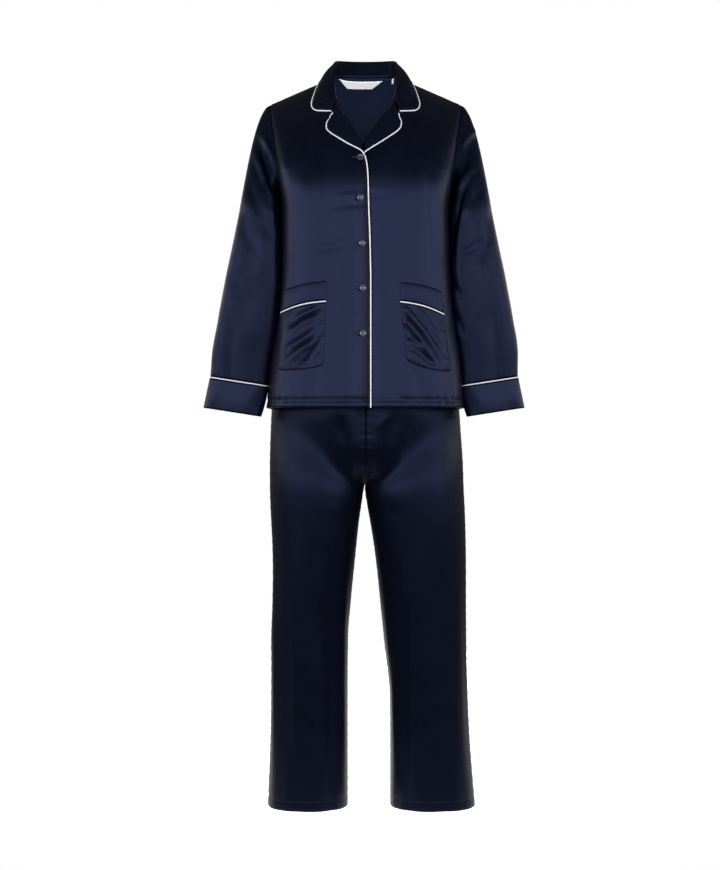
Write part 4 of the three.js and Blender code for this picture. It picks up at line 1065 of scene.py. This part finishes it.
def pocketLine(line, share):
    x0, z0, x1, z1, bow = line
    return mix(x0, x1, share), mix(z0, z1, share) + bow * np.sin(np.pi * share)


pocketFill = {"band": 1.1, "bag": 1.6, "bandEnds": 0.945, "cornerCut": 0.04, "bandStitch": 2, "stitches": (2, 6)}


def pocketGrid(first, second, shares, steps, lift, creases):
    x0, z0 = pocketLine(first, shares[None, :])
    x1, z1 = pocketLine(second, shares[None, :])
    s = steps[:, None]
    s = s - pocketFill["cornerCut"] * s ** 12 * np.abs(2 * shares[None, :] - 1) ** 14
    x, z = mix(x0, x1, s), mix(z0, z1, s)
    return onBody(x, z, -1, lift, bodyCreases + creases)


for name, pocket in pockets.items():
    shares = np.linspace(0, 1, 44)
    lift = jacket["layGap"] + jacket["cloth"]
    edgeSoft = 1 - 0.5 * np.exp(-(np.minimum(shares, 1 - shares) / 0.03) ** 2)
    band = np.linspace(0, pocketFill["bandEnds"], 14)
    grid, n = pocketGrid(pocket["top"], pocket["seam"], shares, band, lift, pocket["creases"])
    puff = pocketFill["band"] * np.sin(np.pi * band / pocketFill["bandEnds"])[:, None] * edgeSoft[None, :]
    grid = grid + n * puff[..., None]
    n = normalsOf(grid, n)
    panel(f"pocket_band_{name}", f"pocket_band_{name}", grid, n)
    pocketRows = [rowBeside(grid, n, side, pocketFill["bandStitch"]) for side in ("start", "end")]
    bag = np.linspace(0.018, 1, 40)
    puff = pocketFill["bag"] * np.sin(np.pi * bag)[:, None] * np.sin(np.pi * shares)[None, :] ** 0.6
    grid, n = pocketGrid(pocket["seam"], pocket["bottom"], shares, bag, lift, pocket["creases"])
    grid = grid + n * puff[..., None]
    n = normalsOf(grid, n)
    shaped = pinched(grid, n, ["start", "end", "high"], 0.7, 3)
    n = normalsOf(shaped, n)
    panel(f"pocket_{name}", f"pocket_{name}", shaped, n)
    pocketRows += [rowBeside(shaped, n, side, gap) for side in ("start", "end", "high")
        for gap in pocketFill["stitches"]]
    sew(f"pocket_stitches_{name}", pocketRows, "edge")
    start = np.array([0.0])
    line = pocketGrid(pocket["seam"], pocket["bottom"], shares, start, lift - 0.4, pocket["creases"])[0][0]
    line = resampled(line, jacket["cordStep"])
    cordPiece(f"pocket_piping_{name}", line, jacket["pipingRadius"], node=f"pocket_piping_{name}")
print("pockets made")

# Trousers
trousers = {
    "waist": -452,
    "bandSeam": -484,
    "riseTop": -697,  # the two legs part below this, on the inside
    "hipBlend": -640,
    "crotch": -787,
    "hem": -1404,
    "hemDeep": 18,
    "hipY": 5,
    "fullness": 2.25,
    "legMiddle": 105,  # the soft waves run round this line in each leg
    "smoothing": 80,  # passes over the rows near the crotch
    "nearCrotch": slice(60, 125),  # those rows
}
hipRings = table("z half front back",
    (-484, 130, 93, 100), (-540, 160, 103, 113), (-600, 178, 108, 120), (-640, 183.5, 108.5, 121),
    (-700, 185.5, 106, 122), (-790, 188, 100.5, 118))
legRings = table("z rightOut rightIn leftOut leftIn front back",
    (-790, -186.5, -2.2, 191, -2.2, 100.5, 112), (-811, -186.2, -6.8, 193, 1, 99.2, 108),
    (-850, -184, -12.7, 194.5, 8.8, 96.5, 103), (-928, -180.5, -20.5, 196, 20.5, 91, 95),
    (-1006, -181.5, -28.3, 196, 28.3, 85, 88), (-1084, -184, -34, 196.5, 36.1, 80, 82),
    (-1201, -184.5, -34.3, 199.9, 47.6, 75, 76), (-1279, -185.8, -34.3, 203.8, 48, 73, 74),
    (-1404, -190.5, -34.2, 213.8, 48, 71.5, 71.5))
trouserCreases = [
    (-1, 14, -6, [(-4, -600), (-2, -770)]),
    (-1, 12, -4, [(-55, -640), (-34, -770)]),
    (-1, 12, -4, [(62, -630), (22, -760)]),
    (1, 14, -5, [(-60, -690), (-20, -800)]),
    (1, 14, -5, [(60, -690), (20, -800)]),
    (-1, 7, -3, [(-54, -640), (-35, -703), (-28, -775)]),
    (-1, 5, 1.6, [(46, -645), (33, -660), (20, -675)]),
    (-1, 9, -2.2, [(84, -640), (78, -670), (66, -730)]),
    (-1, 5, 1.4, [(16, -753), (4, -766)]),
    (-1, 9, 0.8, [(-77, -820), (-60, -826), (-45, -842)]),
    (-1, 10, -0.9, [(30, -800), (48, -830), (74, -848)]),
    (-1, 16, -4.5, [(-66, -850), (-62, -1000), (-60, -1200), (-58, -1390)]),
    (-1, 18, 3.0, [(-120, -840), (-124, -1080), (-126, -1390)]),
    (-1, 5, 1.8, [(-176, -800), (-176, -1080), (-180, -1380)]),
    (-1, 5, 2.0, [(-38, -960), (-39, -1110), (-38, -1360)]),
    (-1, 5, 2.4, [(52, -1100), (57, -1242), (62, -1390)]),
    (-1, 18, 3.0, [(100, -860), (94, -1100), (96, -1390)]),
    (-1, 14, -4.0, [(148, -840), (152, -1100), (158, -1390)]),
    (-1, 10, -2.4, [(78, -1000), (74, -1180), (80, -1380)]),
    (-1, 12, -2.6, [(-150, -960), (-152, -1150), (-150, -1370)]),
    (-1, 10, -2.2, [(-90, -870), (-104, -960), (-100, -1080)]),
    (1, 16, -4.0, [(-100, -820), (-96, -1100), (-104, -1390)]),
    (1, 14, 2.6, [(-62, -860), (-66, -1100), (-62, -1380)]),
    (1, 16, -4.0, [(110, -820), (106, -1100), (120, -1390)]),
    (1, 14, 2.6, [(74, -860), (80, -1100), (82, -1380)]),
    (1, 10, -3.0, [(-40, -560), (-58, -640), (-66, -740)]),
    (1, 10, -3.0, [(42, -560), (62, -646), (72, -744)]),
    (1, 9, -2.6, [(-140, -1040), (-120, -1070), (-84, -1076)]),
    (1, 9, -2.4, [(150, -1030), (128, -1066), (96, -1070)]),
    (1, 6, -4.0, [(0, -560), (0, -660), (0, -760)]),
]


def trouserPoint(z, sign, side, share):
    out, inside = ("rightOut", "rightIn") if sign < 0 else ("leftOut", "leftIn")
    power, hipY = 2 / trousers["fullness"], trousers["hipY"]
    turn = share * np.pi / 2
    depth = hipY + curveAt(hipRings, "front", z) if side < 0 else curveAt(hipRings, "back", z) - hipY
    hip = stack(sign * curveAt(hipRings, "half", z) * np.sin(turn) ** power,
        hipY + side * depth * np.maximum(np.cos(turn), 0) ** power, z)
    turn = (share - 0.5) * np.pi
    outer, inner = curveAt(legRings, out, z), curveAt(legRings, inside, z)
    depth = hipY + curveAt(legRings, "front", z) if side < 0 else curveAt(legRings, "back", z) - hipY
    across = np.sign(turn) * np.abs(np.sin(turn)) ** power
    leg = stack((outer + inner) / 2 + sign * np.abs(outer - inner) / 2 * across,
        hipY + side * depth * np.maximum(np.cos(turn), 0) ** power, z)
    under = np.clip((trousers["riseTop"] - z) / (trousers["riseTop"] - trousers["crotch"]), 0, 1)
    atRise, atSide = 1 - np.sqrt(1 - under ** 2), 1 - ease(z, trousers["crotch"], trousers["hipBlend"])
    return mix(hip, leg, mix(atRise, atSide, ease(share, 0, 0.55))[..., None])


z = np.concatenate([np.linspace(trousers["bandSeam"], -680, 40), np.linspace(-684, -800, 50),
    np.linspace(-804, trousers["hem"], 130)])[:, None]
share = np.linspace(0, 1, 56)
share = (0.5 - 0.5 * np.cos(np.pi * share)) * 0.5 + share * 0.5  # closer together at the seams
for name, sign in (("right", -1), ("left", 1)):
    hemRows = []
    for part, side in (("front", -1), ("back", 1)):
        grid = trouserPoint(z, sign, side, share[None, :])
        risen = np.abs(grid[:, 0, 0]) < 0.5  # rows where the two legs are still sewn together
        smoothed(grid[trousers["nearCrotch"], 1:], trousers["smoothing"])
        n = normalsOf(grid, stack(np.zeros(grid.shape[:2]), side, 0))
        tall = legWaves["tall"] * ease(-grid[..., 2], legWaves["from"], legWaves["full"])
        waves = drape(grid - [sign * trousers["legMiddle"], 0, 0], tall)
        lift = creaseOffset(grid, n, trouserCreases) + waves * np.sin(np.pi * share)[None, :]
        grid = grid + n * lift[..., None]
        n = normalsOf(grid, n)
        shaped = hemmed(pinched(grid, n, ["start", "end"], 1.0, 4), n, False, trousers["hemDeep"])
        shaped[risen, 0, 0] = 0
        n = normalsOf(shaped, n)
        panel(f"leg_{part}_{name}", f"trouser_{part}_{name}", shaped, n, finish=legFinish)
        hemRows.append(rowBeside(shaped, n, "high", trousers["hemDeep"]))
    sew(f"trouser_hem_stitches_{name}", hemRows, "hem")

turn = np.linspace(0, 2 * np.pi, 240, endpoint=False)
s, c = np.sin(turn), np.cos(turn)
power, hipY = 2 / trousers["fullness"], trousers["hipY"]
half, ahead, behind = [curveAt(hipRings, column, trousers["bandSeam"]) for column in ("half", "front", "back")]
depth = np.where(c > 0, hipY + ahead, behind - hipY)
ring = np.stack([half * np.sign(s) * np.abs(s) ** power, hipY - depth * np.sign(c) * np.abs(c) ** power], 1)
rise = np.linspace(trousers["waist"], trousers["bandSeam"] + 0.4, 16)
grid = np.stack([np.column_stack([ring, np.full(len(ring), height)]) for height in rise])
n = normalsOf(grid, grid - [0, 0, 1] * grid, True)
gather = 0.9 * np.sin(46 * turn) + 0.5 * np.sin(71 * turn + 1)
channels = 0.7 + 0.3 * np.cos(np.linspace(0, 4 * np.pi, 16))  # two rows where the elastic is sewn flat
grid = grid + n * (gather[None, :] * channels[:, None])[..., None]
n = normalsOf(grid, n, True)
panel("waistband", "waistband", grid, n,
    jacket["bandCloth"], True, legFinish)
sew("waistband_stitches", [rowBeside(grid, n, "low", gap, True) for gap in (8, 16, 24)], "hem")
print("trousers made")

# Buttons
buttons = {
    "radius": 6.2,
    "middle": 1.75,  # height of the face at the middle, over the cloth
    "back": 0.1,
    "holeRadius": 0.85,
    "holeAway": 1.55,  # four holes, this far from both middle lines
    "holeDeep": 1.3,
    "threadRadius": 0.35,
    "holeFrom": -6.5,  # the buttonhole runs from under the button towards the side
    "holeHalf": 8.5,
    "holeRim": 0.9,
    "rimRadius": 0.45,
    "places": [(-9.9, -164), (-9.9, -240.4), (-6.8, -325.2), (-5.2, -409.1), (-5.2, -494)],
}
profile = table("r h",
    (0, 1.75), (1, 1.75), (2.9, 1.8), (3.7, 2.05), (4.6, 2.5), (5.2, 2.6), (5.8, 2.35), (6.12, 1.7))


def buttonShape():
    # turned rings from the middle of the face out and round to the back, then the holes sunk in
    radii = np.concatenate([np.linspace(0.12, 6.1, 34), [buttons["radius"], buttons["radius"], 6.1]])
    heights = np.concatenate([curveAt(profile, "h", radii[:34]), [1.4, 0.7, 0.35]])
    turn = np.linspace(0, 2 * np.pi, 72, endpoint=False)
    x, y = radii[:, None] * np.cos(turn), radii[:, None] * np.sin(turn)
    gap = np.hypot(np.abs(x) - buttons["holeAway"], np.abs(y) - buttons["holeAway"])
    sunk = buttons["holeDeep"] * (1 - ease(gap, buttons["holeRadius"] * 0.75, buttons["holeRadius"] * 1.25))
    rings = stack(x, y, heights[:, None] - sunk).reshape(-1, 3)
    points = np.concatenate([[[0, 0, buttons["middle"]]], rings, [[0, 0, buttons["back"]]]])
    faces, count = [], len(turn)
    for a in range(count):
        b = (a + 1) % count
        faces.append((0, 1 + a, 1 + b))
        for r in range(len(radii) - 1):
            inner, outer = 1 + r * count, 1 + (r + 1) * count
            faces.append((inner + a, outer + a, outer + b, inner + b))
        last = 1 + (len(radii) - 1) * count
        faces.append((len(points) - 1, last + b, last + a))
    return points, faces


buttonPoints, buttonFaces = buttonShape()
for index, (x, z) in enumerate(buttons["places"]):
    at = np.array([x]), np.array([z])
    seat, n = [found[0] for found in onBody(*at, -1, overlapAt(*at, True) + 0.4)]
    right = unit(np.cross(n, [0, 0, 1.0]))
    up = np.cross(right, n)
    placed = seat + buttonPoints[:, :1] * right + buttonPoints[:, 1:2] * up + buttonPoints[:, 2:] * n
    mesh = newMesh(f"button_face_{index + 1}", placed, buttonFaces)
    if np.dot(np.cross(right, up), n) < 0:
        mesh.flip_normals()
    settle(asPiece(f"button_face_{index + 1}", mesh, buttonFinish), f"button_{index + 1}")
    away = buttons["holeAway"]
    run = np.linspace(-1, 1, 9)[:, None]
    lift = 1.7 + 0.55 * np.sqrt(1 - run ** 2) - 0.5 * (np.abs(run) == 1)  # its ends go down the holes
    for letter, across in (("a", -1), ("b", 1)):
        bar = seat + right * away * across + up * away * run + n * lift
        name = f"button_thread_{index + 1}_{letter}"
        cordPiece(name, bar, buttons["threadRadius"], finish=threadFinish, sides=6)
    turn = np.linspace(0, 2 * np.pi, 40, endpoint=False)  # the buttonhole's sewn rim
    rimX = x + buttons["holeFrom"] + buttons["holeHalf"] * np.cos(turn)
    rimZ = z + buttons["holeRim"] * np.sin(turn)
    rim = onBody(rimX, rimZ, -1, overlapAt(rimX, rimZ, True) + 0.1)[0]
    cordPiece(f"buttonhole_{index + 1}", rim, buttons["rimRadius"], True, threadFinish, 6)
print("buttons made")

# Labels
labels = {
    "size_tab": {"left": 53.5, "right": 57, "lowLeft": 53.5, "lowRight": 57, "top": 15.2, "bottom": 9.5},
    "neck_label": {"left": -53, "right": 34, "lowLeft": -36.5, "lowRight": 12.5, "top": 16, "bottom": 4.5},
}
ribbon = {"thick": 1.0, "gap": 1.2}
for name, label in labels.items():
    share, s = np.linspace(0, 1, 40)[None, :], np.linspace(0, 1, 14)[:, None]
    x = mix(mix(label["left"], label["right"], share), mix(label["lowLeft"], label["lowRight"], share), s)
    grid, n = onBody(x, mix(label["top"], label["bottom"], s), 1, -jacket["cloth"] - ribbon["gap"])
    piece = shell(f"{name}_ribbon", grid, normalsOf(grid, n), ribbon["thick"], finish=labelFinish)
    settle(piece, name)
    if name == "neck_label":
        under = grid - n * (ribbon["thick"] + threadRadius)  # they show on the side turned to the neck
        sew("label_stitches", [rowBeside(under, n, side, 1.5) for side in ("low", "high")], "fine", labelFinish)
print("labels made")

# Studio: a white light table and a ring of tall softboxes at chest height
studio = {
    "floor": -1.475,
    "tableMiddle": 1.3,
    "tableRadius": 1.62,
    "tableGlow": 0.9,
    "ringRadius": 3.5,
    "boxWide": 2.7,
    "air": 0.16,  # light from the rest of the room
}
turn = np.linspace(0, 2 * np.pi, 96, endpoint=False)
points = [(studio["tableRadius"] * math.sin(a), studio["tableMiddle"] - studio["tableRadius"] * math.cos(a),
    studio["floor"]) for a in turn]
mesh = bpy.data.meshes.new("lightTable")
mesh.from_pydata(points, [], [tuple(range(len(points)))])
tableFinish, tree, shader = newMaterial("opalAcrylic")
setShader(shader, {"Base Color": fromHex("#f4f4f4"), "Roughness": 0.6,
    "Emission Color": fromHex("#ffffff"), "Emission Strength": studio["tableGlow"]})
mesh.materials.append(tableFinish)
lightTable = bpy.data.objects.new("lightTable", mesh)
bpy.context.scene.collection.objects.link(lightTable)

# degrees round the set from the front, brightness, lowest and highest edge
softboxes = [(0, 7.2, -0.75, 0.5), (45, 8.8, -0.7, 0.5), (-45, 9.2, -0.7, 0.5), (90, 4.8, -0.4, 0.6),
    (-90, 5.2, -0.4, 0.6), (135, 1.5, -0.4, 0.6), (-135, 1.5, -0.4, 0.6), (180, 3.6, -0.7, 0.5)]
for around, bright, low, high in softboxes:
    name = f"softbox_{around % 360}"
    lamp = bpy.data.lights.new(name, "AREA")
    lamp.shape = "RECTANGLE"
    lamp.size, lamp.size_y = studio["boxWide"], high - low
    lamp.energy = bright * math.pi * studio["boxWide"] * (high - low)
    holder = bpy.data.objects.new(name, lamp)
    a = math.radians(around)
    far = studio["ringRadius"]
    holder.location = (far * math.sin(a), -far * math.cos(a), (low + high) / 2)
    holder.rotation_euler = (math.pi / 2, 0, a)
    holder.visible_camera = False
    bpy.context.scene.collection.objects.link(holder)
world = bpy.data.worlds.new("studioAir")
world.use_nodes = True
tree = world.node_tree
tree.nodes.clear()
seen = addNode(tree, "ShaderNodeLightPath")
white = addNode(tree, "ShaderNodeBackground", {"Color": fromHex("#ffffff"), "Strength": 1})
dim = addNode(tree, "ShaderNodeBackground", {"Color": fromHex("#ffffff"), "Strength": studio["air"]})
both = addNode(tree, "ShaderNodeMixShader", {}, {
    0: seen.outputs["Is Camera Ray"], 1: dim.outputs[0], 2: white.outputs[0]})
addNode(tree, "ShaderNodeOutputWorld", {}, {"Surface": both.outputs[0]})
bpy.context.scene.world = world
bpy.context.scene.view_settings.view_transform = "Standard"
print("studio set")
